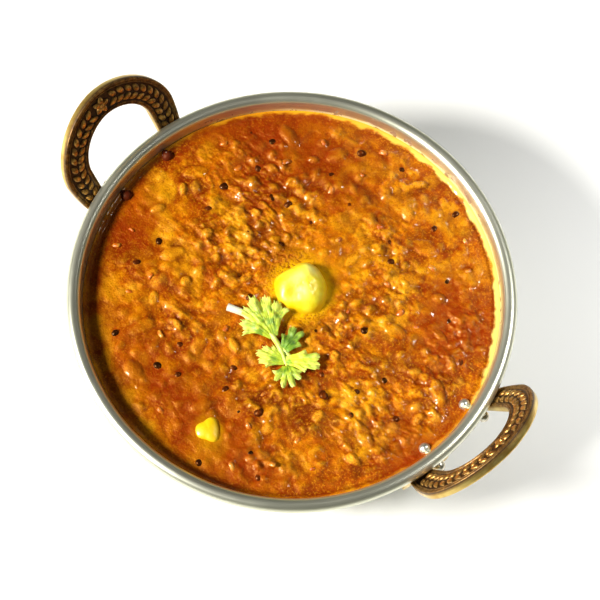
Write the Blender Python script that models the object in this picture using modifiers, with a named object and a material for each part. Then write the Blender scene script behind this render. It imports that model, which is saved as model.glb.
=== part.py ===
"""Dal makhani served in a two-handled steel kadhai.

The bowl is turned sheet steel with a rolled rim. Two cast brass handles are riveted below
the rim. The dal fills the bowl to just under the rim and carries a pat of butter, a small
melting bit of butter and a sprig of coriander.

The origin is the middle of the flat base, +Z is up and the handles lie along X.
"""
import math

import bmesh
import bpy
from mathutils import Matrix, Vector

MM = 0.001
FIT_GAP = 0.3 * MM                  # kept between pieces that touch

# ---- driving dimensions: bowl -------------------------------------------------------------
RIM_RADIUS = 90.0 * MM              # outside of the rolled rim
RIM_HEIGHT = 58.0 * MM              # top of the rim above the base
BEAD_WIDTH = 5.6 * MM
BEAD_HEIGHT = 5.2 * MM
WALL_THICKNESS = 1.2 * MM
BASE_RADIUS = 46.0 * MM
TURN_STEPS = 56                     # facets round the bowl and the dal
WALL_POINTS = 7                     # up the bowl's wall
BEAD_POINTS = 9
BEAD_TURN = math.radians(252.0)     # how far the rim is rolled over

BEAD_RADIUS = RIM_RADIUS - BEAD_WIDTH / 2
BEAD_LEVEL = RIM_HEIGHT - BEAD_HEIGHT / 2
WALL_TOP_RADIUS = RIM_RADIUS - BEAD_WIDTH + 0.8 * MM

# ---- driving dimensions: dal and what lies on it ------------------------------------------
DAL_LEVEL = RIM_HEIGHT - 8.2 * MM
MENISCUS_RISE = 2.0 * MM
MENISCUS_WIDTH = 3.0 * MM
DAL_RINGS = 11
MOUND_COUNT = 44
MOUND_HEIGHT = 0.75 * MM
MOUND_WIDTH = 7.5 * MM
MOUND_SPREAD = 78.0 * MM
CALM_MARGIN = 2.5 * MM              # level dal round the butter
CALM_FADE = 6.0 * MM

BUTTER_PLACE = Vector((0.4 * MM, 5.1 * MM))
BUTTER_RADIUS = 10.4 * MM
BUTTER_HEIGHT = 7.6 * MM
PEAK_PLACE = (-0.35, 0.55)          # in butter radii, from the middle of the pat
PEAK_SPREAD = 0.35
NOTCH_ANGLE = -2.5
NOTCH_SPREAD = 0.35
SMALL_BUTTER_PLACE = Vector((12.6 * MM, -63.3 * MM))
SMALL_BUTTER_RADIUS = 4.6 * MM
SMALL_BUTTER_HEIGHT = 1.5 * MM

LEAF_THICKNESS = 0.7 * MM
STEM_RADIUS = 0.9 * MM
SPRIG_LIFT = 1.5 * MM               # middle of the stem above the level dal

# ---- driving dimensions: handles and rivets -----------------------------------------------
HANDLE_TILT = math.radians(62.4)    # lean of the arch, up from the level
HANDLE_RADIUS = 90.2 * MM           # where its face crosses the level of the rim
HANDLE_THICKNESS = 4.0 * MM
HANDLE_ROUNDING = 0.9 * MM
ARCH_CENTRE = 5.6 * MM              # up the slope from the level of the rim
ARCH_OUTER = (29.4 * MM, 28.1 * MM)
ARCH_INNER = (17.3 * MM, 16.1 * MM)
ARCH_POWER = 1.87                   # of the superellipse, 2 for a true ellipse
ARCH_POINTS = 14
ARM_END = -13.4 * MM                # down the slope
ARM_END_WIDTH = 25.5 * MM
BORDER_WIDTH = 2.0 * MM
FACE_RECESS = 0.5 * MM
FIELD_END = -4.0 * MM               # down the slope, where the recessed field stops

TAB_RADIUS = 85.6 * MM              # against the outside of the wall
TAB_THICKNESS = 3.6 * MM
TAB_TOP = RIM_HEIGHT - 5.8 * MM
TAB_BOTTOM = RIM_HEIGHT - 14.2 * MM
TAB_START = math.radians(5.0)
TAB_END = math.radians(19.0)
TAB_CHAMFER = 0.8 * MM
TAB_STEPS = 5

RIVET_ANGLE = math.radians(8.65)
RIVET_LEVEL = RIM_HEIGHT - 8.4 * MM
SHANK_RADIUS = 1.5 * MM
INNER_HEAD_RADIUS = 2.4 * MM
INNER_HEAD_REACH = 5.0 * MM         # from the wall towards the middle of the bowl
INNER_HEAD_NECK = 1.3 * MM
OUTER_HEAD_RADIUS = 2.2 * MM
OUTER_HEAD_REACH = 2.9 * MM
RIVET_STEPS = 12
BORE_MARGIN = 2.0 * MM              # a bore's cutter runs past both faces by this


# ---- scene and collections ----------------------------------------------------------------
def clear_scene():
    for old in list(bpy.data.objects):
        bpy.data.objects.remove(old, do_unlink=True)


def new_collection(name):
    collection = bpy.data.collections.new(name)
    bpy.context.scene.collection.children.link(collection)
    return collection


clear_scene()
PARTS = new_collection("dal_makhani")
CUTTERS = new_collection("cutters")


def make_material(name, colour, roughness, metallic=0.0):
    material = bpy.data.materials.new(name)
    material.use_nodes = True
    shader = material.node_tree.nodes["Principled BSDF"]
    shader.inputs["Base Color"].default_value = (*colour, 1.0)
    shader.inputs["Roughness"].default_value = roughness
    shader.inputs["Metallic"].default_value = metallic
    material.diffuse_color = (*colour, 1.0)
    return material


def add_object(name, mesh, collection=PARTS, material=None):
    item = bpy.data.objects.new(name, mesh)
    collection.objects.link(item)
    if material:
        mesh.materials.clear()
        mesh.materials.append(material)
    return item


def make_cutter(item):
    """Set an object up as a guide that only shapes others."""
    for collection in list(item.users_collection):
        collection.objects.unlink(item)
    CUTTERS.objects.link(item)
    item.hide_render = True
    item.display_type = "WIRE"
    return item


def evaluated_mesh(item):
    """The object's mesh with its modifiers applied, in world space."""
    bpy.context.view_layer.update()
    graph = bpy.context.evaluated_depsgraph_get()
    mesh = bpy.data.meshes.new_from_object(item.evaluated_get(graph))
    mesh.transform(item.matrix_world)
    return mesh


def take_mesh(item):
    """Turn an object into its applied mesh and remove the object."""
    mesh = evaluated_mesh(item)
    bpy.data.objects.remove(item, do_unlink=True)
    return mesh


def add_boolean(item, operation, other, solver="EXACT"):
    modifier = item.modifiers.new(operation.lower(), "BOOLEAN")
    modifier.operation = operation
    modifier.solver = solver
    modifier.object = other
    return modifier


def shade_round(mesh, sharp_degrees=35.0):
    mesh.shade_smooth()
    mesh.set_sharp_from_angle(angle=math.radians(sharp_degrees))


# ---- turned shapes ------------------------------------------------------------------------
def add_turned(name, profile, steps, material=None, collection=PARTS):
    """Turn (radius, height) points about Z. They run from the inside, over and down outside."""
    mesh = bpy.data.meshes.new(name)
    shape = bmesh.new()
    points = [shape.verts.new((radius, 0.0, height)) for radius, height in profile]
    for start, end in zip(points, points[1:]):
        shape.edges.new((start, end))
    shape.to_mesh(mesh)
    shape.free()
    item = add_object(name, mesh, collection, material)
    turn = item.modifiers.new("turn", "SCREW")
    turn.axis = "Z"
    turn.steps = steps
    turn.render_steps = steps
    turn.use_merge_vertices = True
    turn.merge_threshold = 0.00005
    turn.use_smooth_shade = True
    return item


def wall_radius(height, inset):
    """Radius of the bowl's wall at a height, moved in from the outside face by inset."""
    drop = min(max((BEAD_LEVEL - height) / (BEAD_LEVEL - inset), 0.0), 1.0)
    reach = WALL_TOP_RADIUS - inset - BASE_RADIUS
    return BASE_RADIUS + reach * math.sqrt(1.0 - drop * drop)


def wall_run(high, inset, count):
    """Points up the quarter ellipse of the wall, from the edge of the flat base to a height."""
    depth = BEAD_LEVEL - inset
    last_angle = math.acos((BEAD_LEVEL - high) / depth)
    points = []
    for index in range(count):
        height = BEAD_LEVEL - depth * math.cos(last_angle * index / (count - 1))
        points.append((wall_radius(height, inset), height))
    return points


def bead_run():
    """Points over the rolled rim, from inside the bowl to under the roll outside it."""
    points = []
    for index in range(BEAD_POINTS):
        angle = math.pi - BEAD_TURN * index / (BEAD_POINTS - 1)
        points.append((BEAD_RADIUS + BEAD_WIDTH / 2 * math.cos(angle),
                       BEAD_LEVEL + BEAD_HEIGHT / 2 * math.sin(angle)))
    return points


def bowl_profile():
    under_rim = RIM_HEIGHT - BEAD_HEIGHT
    inner = wall_run(under_rim, WALL_THICKNESS, WALL_POINTS)
    outer = wall_run(under_rim, 0.0, WALL_POINTS)
    floor_middle = (0.0, WALL_THICKNESS)
    base_middle = (0.0, 0.0)
    return [floor_middle] + inner + bead_run() + outer[::-1] + [base_middle]


# ---- rivets -------------------------------------------------------------------------------
def rivet_profile(grow=0.0):
    """Half section along the rivet, from the tip outside the bowl to the tip inside it."""
    wall_face = wall_radius(RIVET_LEVEL, WALL_THICKNESS)
    neck = wall_face - FIT_GAP
    waist = neck - INNER_HEAD_NECK
    tip = wall_face - INNER_HEAD_REACH - grow
    outer_face = TAB_RADIUS + TAB_THICKNESS + FIT_GAP
    outer_shoulder = outer_face + OUTER_HEAD_REACH * 0.6
    profile = [
        (0.0, outer_face + OUTER_HEAD_REACH + grow),
        (OUTER_HEAD_RADIUS * 0.85 + grow, outer_shoulder),
        (OUTER_HEAD_RADIUS + grow, outer_face),
        (SHANK_RADIUS + grow, outer_face),
        (SHANK_RADIUS + grow, neck),
        (INNER_HEAD_RADIUS * 0.7 + grow, neck),
        (INNER_HEAD_RADIUS * 0.82 + grow, waist),
    ]
    half_length = (waist - tip) * 0.55
    for degrees in (90.0, 65.0, 35.0):
        angle = math.radians(degrees)
        profile.append(((INNER_HEAD_RADIUS + grow) * math.sin(angle),
                        tip + half_length * (1.0 - math.cos(angle))))
    profile.append((0.0, tip))
    return profile


def along_radius(angle, level):
    """Lays +Z along a radius of the bowl at a level."""
    turn = Matrix.Rotation(angle, 4, "Z") @ Matrix.Rotation(math.pi / 2, 4, "Y")
    return Matrix.Translation((0.0, 0.0, level)) @ turn


def rivet_angles():
    for side in (0.0, math.pi):
        for turn in (-RIVET_ANGLE, RIVET_ANGLE):
            yield side + turn


def add_rivet(name, angle, material):
    item = add_turned(name, rivet_profile(), RIVET_STEPS, material)
    item.matrix_world = along_radius(angle, RIVET_LEVEL)
    mesh = take_mesh(item)
    shade_round(mesh, 50.0)
    return add_object(name, mesh, PARTS, material)


def add_shank_cutter(name, angle, inside, outside):
    """A cylinder that clears the shank between two radii."""
    bpy.ops.mesh.primitive_cylinder_add(vertices=16, radius=SHANK_RADIUS + FIT_GAP,
                                        depth=outside - inside)
    cutter = make_cutter(bpy.context.object)
    cutter.name = name
    place = along_radius(angle, RIVET_LEVEL)
    cutter.matrix_world = place @ Matrix.Translation((0.0, 0.0, (inside + outside) / 2))
    return cutter


# ---- handles ------------------------------------------------------------------------------
def arch_curve(size, width_end, inset, end_level):
    """One edge of the arch, from the lower end of one arm, over the top, to the other."""
    half_width = size[0] + inset
    half_height = size[1] + inset
    points = []
    for index in range(ARCH_POINTS + 1):
        angle = math.pi * index / ARCH_POINTS
        cosine = math.cos(angle)
        sine = max(math.sin(angle), 0.0)
        across = math.copysign(abs(cosine) ** (2 / ARCH_POWER), cosine)
        points.append((half_width * across, ARCH_CENTRE + half_height * sine ** (2 / ARCH_POWER)))
    right_end = (width_end + inset, end_level)
    right_bend = ((2 * half_width + width_end + inset) / 3, end_level * 0.35)
    left_bend = (-right_bend[0], right_bend[1])
    left_end = (-right_end[0], right_end[1])
    return [right_end, right_bend] + points + [left_bend, left_end]


def add_flat(name, outline, thickness):
    """A flat plate from a closed outline, as a mesh."""
    curve = bpy.data.curves.new(name, "CURVE")
    curve.dimensions = "2D"
    curve.fill_mode = "BOTH"
    curve.extrude = thickness / 2
    spline = curve.splines.new("POLY")
    spline.points.add(len(outline) - 1)
    for point, (across, up) in zip(spline.points, outline):
        point.co = (across, up, 0.0, 1.0)
    spline.use_cyclic_u = True
    item = add_object(name, curve)
    mesh = take_mesh(item)
    shape = bmesh.new()
    shape.from_mesh(mesh)
    bmesh.ops.remove_doubles(shape, verts=shape.verts, dist=0.00001)
    bmesh.ops.dissolve_limit(shape, angle_limit=math.radians(1.0), verts=shape.verts,
                             edges=shape.edges)
    bmesh.ops.recalc_face_normals(shape, faces=shape.faces)
    shape.to_mesh(mesh)
    shape.free()
    return add_object(name, mesh)


def handle_frame(side):
    """Plate axes to world: x across the handle, y up its slope, z out of its face."""
    across = Vector((0.0, side, 0.0))
    upward = Vector((side * math.cos(HANDLE_TILT), 0.0, math.sin(HANDLE_TILT)))
    face = across.cross(upward) * -1.0
    across = upward.cross(face)
    place = Matrix((across, upward, face)).transposed().to_4x4()
    place.translation = Vector((side * HANDLE_RADIUS, 0.0, RIM_HEIGHT))
    return place


def add_tab(name, base, turn):
    """The foot of one arm, which lies on the wall: a short piece of a turned band."""
    middle = (TAB_TOP + TAB_BOTTOM) / 2
    half = (TAB_TOP - TAB_BOTTOM) / 2
    shoulder = TAB_RADIUS + TAB_THICKNESS - TAB_CHAMFER
    face = TAB_RADIUS + TAB_THICKNESS
    section = ((TAB_RADIUS, -half), (shoulder, -half), (face, TAB_CHAMFER - half),
               (face, half - TAB_CHAMFER), (shoulder, half), (TAB_RADIUS, half))
    shape = bmesh.new()
    corners = [shape.verts.new((radius, 0.0, middle + rise)) for radius, rise in section]
    start = shape.faces.new(corners)
    low, high = sorted((turn * TAB_START, turn * TAB_END))
    bmesh.ops.rotate(shape, verts=shape.verts, cent=(0, 0, 0),
                     matrix=Matrix.Rotation(base + low, 3, "Z"))
    bmesh.ops.spin(shape, geom=[start] + list(start.edges) + corners, cent=(0, 0, 0),
                   axis=(0, 0, 1), angle=high - low, steps=TAB_STEPS)
    bmesh.ops.recalc_face_normals(shape, faces=shape.faces)
    mesh = bpy.data.meshes.new(name)
    shape.to_mesh(mesh)
    shape.free()
    return make_cutter(add_object(name, mesh))


def add_handle(name, side, material):
    outer = arch_curve(ARCH_OUTER, ARM_END_WIDTH, 0.0, ARM_END)
    inner = arch_curve(ARCH_INNER, ARCH_INNER[0], 0.0, ARM_END)
    arch = add_flat(name, outer + inner[::-1], HANDLE_THICKNESS)
    field_outer = arch_curve(ARCH_OUTER, ARM_END_WIDTH, -BORDER_WIDTH, FIELD_END)
    field_inner = arch_curve(ARCH_INNER, ARCH_INNER[0], BORDER_WIDTH, FIELD_END)
    field = make_cutter(add_flat(name + "_field", field_outer + field_inner[::-1],
                                 FACE_RECESS * 2))
    place = handle_frame(side)
    arch.matrix_world = place @ Matrix.Translation((0.0, 0.0, -HANDLE_THICKNESS / 2))
    field.matrix_world = place

    rounding = arch.modifiers.new("rounding", "BEVEL")
    rounding.width = HANDLE_ROUNDING
    rounding.segments = 2
    rounding.limit_method = "ANGLE"
    rounding.angle_limit = math.radians(60.0)
    add_boolean(arch, "DIFFERENCE", field)
    base = 0.0 if side > 0 else math.pi
    for turn in (-1, 1):
        label = "left" if turn < 0 else "right"
        add_boolean(arch, "UNION", add_tab(f"{name}_tab_{label}", base, turn))
        cutter = add_shank_cutter(f"{name}_bore_{label}", base + turn * RIVET_ANGLE,
                                  TAB_RADIUS - BORE_MARGIN,
                                  TAB_RADIUS + TAB_THICKNESS + BORE_MARGIN)
        add_boolean(arch, "DIFFERENCE", cutter)
    mesh = take_mesh(arch)
    shade_round(mesh)
    return add_object(name, mesh, PARTS, material)


# ---- dal ----------------------------------------------------------------------------------
def calm_share(x, y):
    """0 where the butter rests on level dal, 1 well away from it."""
    share = 1.0
    for place, radius in ((BUTTER_PLACE, BUTTER_RADIUS), (SMALL_BUTTER_PLACE, SMALL_BUTTER_RADIUS)):
        distance = math.hypot(x - place.x, y - place.y)
        share = min(share, max(0.0, (distance - radius - CALM_MARGIN) / CALM_FADE))
    return share


def mound_rise(x, y):
    """Low mounds and hollows of beans under the surface, spread evenly over the dal."""
    golden_angle = math.pi * (3.0 - math.sqrt(5.0))
    rise = 0.0
    for index in range(MOUND_COUNT):
        distance = MOUND_SPREAD * math.sqrt((index + 0.5) / MOUND_COUNT)
        angle = index * golden_angle
        away = math.hypot(x - distance * math.cos(angle), y - distance * math.sin(angle))
        height = MOUND_HEIGHT * math.sin(index * golden_angle)
        rise += height * math.exp(-(away / MOUND_WIDTH) ** 2)
    return rise * calm_share(x, y)


def dal_profile():
    """Over the surface from the middle, up the meniscus, and back under along the wall."""
    clear = WALL_THICKNESS + FIT_GAP
    edge_level = DAL_LEVEL + MENISCUS_RISE
    edge_radius = wall_radius(edge_level, clear)
    level_radius = edge_radius - MENISCUS_WIDTH
    surface = []
    for index in range(DAL_RINGS):
        surface.append((level_radius * index / (DAL_RINGS - 1), DAL_LEVEL))
    surface.append((edge_radius - MENISCUS_WIDTH * 0.4, DAL_LEVEL + MENISCUS_RISE * 0.35))
    under = wall_run(edge_level, clear, WALL_POINTS)
    return surface + under[::-1] + [(0.0, clear)]


def add_dal(name, material):
    mesh = take_mesh(add_turned(name, dal_profile(), TURN_STEPS))
    meniscus_start = wall_radius(DAL_LEVEL, WALL_THICKNESS) - MENISCUS_WIDTH
    for vertex in mesh.vertices:
        x, y, z = vertex.co
        on_surface = abs(z - DAL_LEVEL) < FIT_GAP / 10 and math.hypot(x, y) < meniscus_start
        if on_surface:
            vertex.co.z += mound_rise(x, y)
    dal = add_object(name, mesh)
    for index, angle in enumerate(rivet_angles()):
        pocket = add_turned(f"dal_pocket_{index + 1}", rivet_profile(FIT_GAP), RIVET_STEPS)
        pocket.matrix_world = along_radius(angle, RIVET_LEVEL)
        add_boolean(dal, "DIFFERENCE", make_cutter(pocket))
    mesh = take_mesh(dal)
    shade_round(mesh, 50.0)
    return add_object(name, mesh, PARTS, material)


# ---- butter -------------------------------------------------------------------------------
def cut_flat_below(mesh, level):
    """Close a mesh with one flat face where its lowest vertices lie at a level."""
    shape = bmesh.new()
    shape.from_mesh(mesh)
    low = {vertex for vertex in shape.verts if vertex.co.z < level + FIT_GAP / 30}
    inner = [vertex for vertex in low
             if all(edge.other_vert(vertex) in low for edge in vertex.link_edges)]
    bmesh.ops.delete(shape, geom=inner, context="VERTS")
    open_edges = [edge for edge in shape.edges if edge.is_boundary]
    bmesh.ops.contextual_create(shape, geom=open_edges)
    bmesh.ops.recalc_face_normals(shape, faces=shape.faces)
    shape.to_mesh(mesh)
    shape.free()


def add_butter(name, place, radius, height, peak, segments, rings, material):
    """A soft lump with a flat underside; peak is how far its top leans and stands up."""
    bpy.ops.mesh.primitive_uv_sphere_add(segments=segments, ring_count=rings, radius=1.0)
    lump = bpy.context.object
    floor = DAL_LEVEL + FIT_GAP
    for vertex in lump.data.vertices:
        x, y, z = vertex.co
        angle = math.atan2(y, x)
        belly = 1.0 + 0.05 * math.cos(3.0 * angle + 0.6) + 0.035 * math.cos(5.0 * angle + 2.0)
        notch = 1.0 - 0.16 * math.exp(-((angle - NOTCH_ANGLE) / NOTCH_SPREAD) ** 2)
        up = max(z, 0.0)
        lean = peak * up * up
        off_peak = (x - PEAK_PLACE[0]) ** 2 + (y - PEAK_PLACE[1]) ** 2
        stand = 1.0 + 0.5 * peak * math.exp(-off_peak / PEAK_SPREAD ** 2)
        vertex.co.x = place.x + radius * (x * belly * notch - 0.25 * lean)
        vertex.co.y = place.y + radius * (y * belly * notch + 0.45 * lean)
        vertex.co.z = floor + height * up * stand
    mesh = take_mesh(lump)
    cut_flat_below(mesh, floor)
    shade_round(mesh, 60.0)
    return add_object(name, mesh, PARTS, material)


# ---- coriander ----------------------------------------------------------------------------
# Lengths are in millimetres and headings in degrees, turned from the line of the handles.
STEM_START = (-16.0, -21.0)
STEM_LENGTH = 34.0
STEM_HEADING = -4.0
STEM_BOW = 5.0                      # how far its middle bows to the left of its line
STEM_STEPS = 5
STEM_RISE = 0.6                     # of its cut end above its tip
SIDE_SHARE = 0.7                    # along the stem, where the side stem leaves it
SIDE_LENGTH = 16.0
SIDE_HEADING = -8.0
SIDE_RISE = 0.4
LEAVES = (
    # share along the stem, heading, length, half the spread, lobes, height of the base, lift
    (0.65, 162, 20, 52, 7, 0.6, 2.2),
    (0.85, 98, 13, 30, 4, 0.4, 1.6),
    (0.95, 205, 13, 32, 5, 0.0, 1.3),
    (0.95, 40, 15, 25, 4, 0.5, 1.8),
    (1.00, 315, 10, 65, 6, 0.2, 1.1),
)
LOBE_SHORTENING = 0.4               # share of its length that an outermost lobe lacks
LOBE_EDGE = 7.0                     # degrees from an outer lobe's middle to the leaf's edge
LOBE_HALF = 9.0                     # degrees from a lobe's tip to where it meets the next
LOBE_DEPTH = 0.42                   # share of the length that a notch between lobes cuts in
LEAF_NECK = 1.3
LEAF_NECK_HALF = 0.8


def stem_point(share):
    """A place along the main stem, which bows between its cut end and its tip."""
    heading = math.radians(STEM_HEADING)
    along = STEM_LENGTH * share
    aside = STEM_BOW * 4.0 * share * (1.0 - share)
    return (STEM_START[0] + along * math.cos(heading) - aside * math.sin(heading),
            STEM_START[1] + along * math.sin(heading) + aside * math.cos(heading))


def stem_line():
    shares = [index / STEM_STEPS for index in range(STEM_STEPS + 1)]
    return [(*stem_point(share), STEM_RISE * (1.0 - share)) for share in shares]


def side_stem_line():
    x, y = stem_point(SIDE_SHARE)
    heading = math.radians(SIDE_HEADING)
    return [(x + SIDE_LENGTH * share * math.cos(heading),
             y + SIDE_LENGTH * share * math.sin(heading), SIDE_RISE * share)
            for share in (0.0, 0.5, 1.0)]


def leaf_lobes(heading, length, half_spread, count):
    """A leaf's lobes as heading and length: evenly spread, and shorter to either side."""
    lobes = []
    for index in range(count):
        off = 2.0 * index / (count - 1) - 1.0
        shorter = 1.0 - LOBE_SHORTENING * abs(off) ** 1.5
        lobes.append((heading + off * half_spread, length * shorter))
    return lobes


def leaf_reach(heading, lobes):
    """Length of a leaf in one direction: it runs out along each lobe and in between them."""
    reach = 0.0
    for lobe_heading, length in lobes:
        off = min(abs(heading - lobe_heading) / LOBE_HALF, 1.0)
        reach = max(reach, length * (1.0 - LOBE_DEPTH * off ** 1.3))
    return reach


def add_leaf(name, leaf):
    share, heading, length, half_spread, count, height, lift = leaf
    base_x, base_y = stem_point(share)
    lobes = leaf_lobes(heading, length, half_spread, count)
    first = lobes[0][0] - LOBE_EDGE
    last = lobes[-1][0] + LOBE_EDGE
    bpy.ops.mesh.primitive_grid_add(x_subdivisions=3 * len(lobes), y_subdivisions=2, size=2.0)
    blade = bpy.context.object
    level = DAL_LEVEL + SPRIG_LIFT + height * MM
    middle = math.radians((first + last) / 2.0)
    for vertex in blade.data.vertices:
        across = -vertex.co.x
        out = (vertex.co.y + 1.0) / 2.0
        ray = first + (last - first) * (across + 1.0) / 2.0
        angle = middle + (math.radians(ray) - middle) * (0.6 + 0.4 * out)
        reach = MM * (LEAF_NECK + (leaf_reach(ray, lobes) - LEAF_NECK) * out)
        side = MM * LEAF_NECK_HALF * across * (1.0 - out)
        vertex.co.x = base_x * MM + reach * math.cos(angle) - side * math.sin(middle)
        vertex.co.y = base_y * MM + reach * math.sin(angle) + side * math.cos(middle)
        crown = math.sin(math.pi * out * 0.8) * (1.0 - 0.35 * across * across)
        vertex.co.z = level + lift * MM * crown
    skin = blade.modifiers.new("thickness", "SOLIDIFY")
    skin.thickness = LEAF_THICKNESS
    skin.offset = 0.0
    mesh = take_mesh(blade)
    return add_object(name, mesh)


def add_stem(name, points, radius):
    curve = bpy.data.curves.new(name, "CURVE")
    curve.dimensions = "3D"
    curve.bevel_depth = radius
    curve.bevel_resolution = 1
    curve.use_fill_caps = True
    spline = curve.splines.new("POLY")
    spline.points.add(len(points) - 1)
    for point, (x, y, height) in zip(spline.points, points):
        point.co = (x * MM, y * MM, DAL_LEVEL + SPRIG_LIFT + height * MM, 1.0)
    mesh = take_mesh(add_object(name, curve))
    shape = bmesh.new()
    shape.from_mesh(mesh)
    bmesh.ops.remove_doubles(shape, verts=shape.verts, dist=0.00001)
    shape.to_mesh(mesh)
    shape.free()
    return add_object(name, mesh)


def add_coriander(name, material):
    """The leaves are thin and cross each other, which only the MANIFOLD solver joins cleanly."""
    sprig = add_stem(name, stem_line(), STEM_RADIUS)
    side_stem = make_cutter(add_stem("side_stem", side_stem_line(), STEM_RADIUS * 0.7))
    add_boolean(sprig, "UNION", side_stem, "MANIFOLD")
    for index, leaf in enumerate(LEAVES):
        blade = make_cutter(add_leaf(f"leaf_{index + 1}", leaf))
        add_boolean(sprig, "UNION", blade, "MANIFOLD")
    mesh = take_mesh(sprig)
    shade_round(mesh, 40.0)
    return add_object(name, mesh, PARTS, material)


# ---- the whole ----------------------------------------------------------------------------
STEEL = make_material("steel", (0.62, 0.62, 0.58), 0.22, 1.0)
BRASS = make_material("antique_brass", (0.46, 0.30, 0.10), 0.38, 1.0)
ALUMINIUM = make_material("aluminium", (0.80, 0.79, 0.75), 0.30, 1.0)
GRAVY = make_material("dal_gravy", (0.50, 0.13, 0.01), 0.25)
BUTTER = make_material("butter", (0.92, 0.68, 0.05), 0.35)
LEAF = make_material("coriander", (0.30, 0.48, 0.04), 0.45)


def build():
    bowl = add_turned("bowl", bowl_profile(), TURN_STEPS, STEEL)
    for index, angle in enumerate(rivet_angles()):
        cutter = add_shank_cutter(f"bowl_bore_{index + 1}", angle,
                                  WALL_TOP_RADIUS - WALL_THICKNESS - 2 * BORE_MARGIN,
                                  WALL_TOP_RADIUS + BORE_MARGIN)
        add_boolean(bowl, "DIFFERENCE", cutter)
        add_rivet(f"rivet_{index + 1}", angle, ALUMINIUM)
    add_handle("handle_right", 1, BRASS)
    add_handle("handle_left", -1, BRASS)
    add_dal("dal", GRAVY)
    add_butter("butter", BUTTER_PLACE, BUTTER_RADIUS, BUTTER_HEIGHT, 0.35, 24, 12, BUTTER)
    add_butter("butter_bit", SMALL_BUTTER_PLACE, SMALL_BUTTER_RADIUS, SMALL_BUTTER_HEIGHT,
               0.0, 14, 8, BUTTER)
    add_coriander("coriander", LEAF)


build()
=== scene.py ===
"""Looks of a two-handled kadhai of dal makhani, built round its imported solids.

Lengths are in millimetres until a piece is finished, and in metres after that.
"""

import math
import random

import bpy
import numpy as np
from mathutils import Matrix, Vector, noise
from mathutils.kdtree import KDTree


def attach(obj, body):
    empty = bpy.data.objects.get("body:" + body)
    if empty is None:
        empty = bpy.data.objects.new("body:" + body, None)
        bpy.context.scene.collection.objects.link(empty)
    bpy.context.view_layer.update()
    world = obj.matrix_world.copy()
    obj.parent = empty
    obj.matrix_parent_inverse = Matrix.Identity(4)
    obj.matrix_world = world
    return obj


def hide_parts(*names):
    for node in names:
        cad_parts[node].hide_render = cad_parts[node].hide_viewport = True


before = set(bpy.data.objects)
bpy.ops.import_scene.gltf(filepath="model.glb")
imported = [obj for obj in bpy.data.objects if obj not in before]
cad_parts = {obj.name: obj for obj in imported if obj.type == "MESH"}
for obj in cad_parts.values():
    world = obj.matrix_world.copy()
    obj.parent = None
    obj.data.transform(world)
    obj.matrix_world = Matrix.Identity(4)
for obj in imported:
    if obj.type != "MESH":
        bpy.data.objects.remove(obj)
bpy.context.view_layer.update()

MM = 0.001
FULL_TURN = 2 * math.pi

# ---- the kadhai: rim, wall and base, as in the solids ----
RIM_RADIUS = 90.0
RIM_HEIGHT = 58.0
BEAD_WIDTH = 5.6
BEAD_HEIGHT = 5.2
WALL_THICKNESS = 1.2
BASE_RADIUS = 46.0
BEAD_RADIUS = RIM_RADIUS - BEAD_WIDTH / 2
BEAD_LEVEL = RIM_HEIGHT - BEAD_HEIGHT / 2
WALL_TOP_RADIUS = RIM_RADIUS - BEAD_WIDTH + 0.8
BOWL_STEPS = 224
WALL_POINTS = 22
BEAD_POINTS = 25
BEAD_TURN = math.radians(292)

# ---- the dal ----
DAL_LEVEL = RIM_HEIGHT - 8.2
DAL_EDGE_LEVEL = DAL_LEVEL + 1.3
DAL_CELLS = 290
DAL_CLEAR = WALL_THICKNESS + 0.15
MOUND_COUNT = 44
MOUND_HEIGHT = 0.75
MOUND_WIDTH = 7.5
MOUND_SPREAD = 78.0
BUTTER_PLACE = (0.4, 5.1)
BUTTER_RADIUS = 10.4
BUTTER_HEIGHT = 7.6
SMALL_BUTTER_PLACE = (12.6, -63.3)
SMALL_BUTTER_RADIUS = 4.6
SMALL_BUTTER_HEIGHT = 1.5
SPRIG_LIFT = 1.5
STEM_START = (-16.0, -21.0)
STEM_LENGTH = 34.0
STEM_HEADING = math.radians(-4)
STEM_BOW = 5.0                      # how far its middle bows to the left of its line
STEM_STEPS = 5
STEM_RISE = 0.8                     # of its cut end above its tip
SIDE_SHARE = 0.7                    # along the stem, where the side stem leaves it
SIDE_LENGTH = 16.0
SIDE_HEADING = math.radians(-8)
SIDE_RISE = 0.4
LEAVES = (
    # share along the stem, heading, length, half the spread, lobes, height, lift, age
    (0.65, 162, 20, 52, 7, 0.6, 2.2, 0.35),
    (0.85, 98, 13, 30, 4, 0.4, 1.6, 0.95),
    (0.95, 205, 13, 32, 5, 0.0, 1.3, 0.30),
    (0.95, 40, 15, 25, 4, 0.5, 1.8, 0.15),
    (1.00, 315, 10, 65, 6, 0.2, 1.1, 0.50),
)
LOBE_SHORTENING = 0.4               # share of its length that an outermost lobe lacks

# ---- handles and rivets ----
HANDLE_TILT = math.radians(62.4)
HANDLE_RADIUS = 90.2
ARCH_CENTRE = 5.6
ARCH_OUTER = (29.4, 28.1)
ARCH_INNER = (17.3, 16.1)
ARCH_POWER = 1.87
ARCH_STEPS = 72
ARM_END = -13.4
ARM_END_WIDTH = 25.5
ARM_STEPS = 9
TAB_RADIUS = 85.6
TAB_THICKNESS = 3.6
TAB_TOP = RIM_HEIGHT - 5.8
TAB_BOTTOM = RIM_HEIGHT - 14.2
TAB_START = math.radians(5)
TAB_END = math.radians(19)
RIVET_ANGLE = math.radians(8.65)
RIVET_LEVEL = RIM_HEIGHT - 8.4
HEAD_RADIUS = 81.0                  # of the circle that the inner rivet heads lie on


# ---- hand tools ----
def let_go():
    """Back to object mode with nothing selected."""
    if bpy.context.object and bpy.context.object.mode != "OBJECT":
        bpy.ops.object.mode_set(mode="OBJECT")
    bpy.ops.object.select_all(action="DESELECT")


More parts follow.
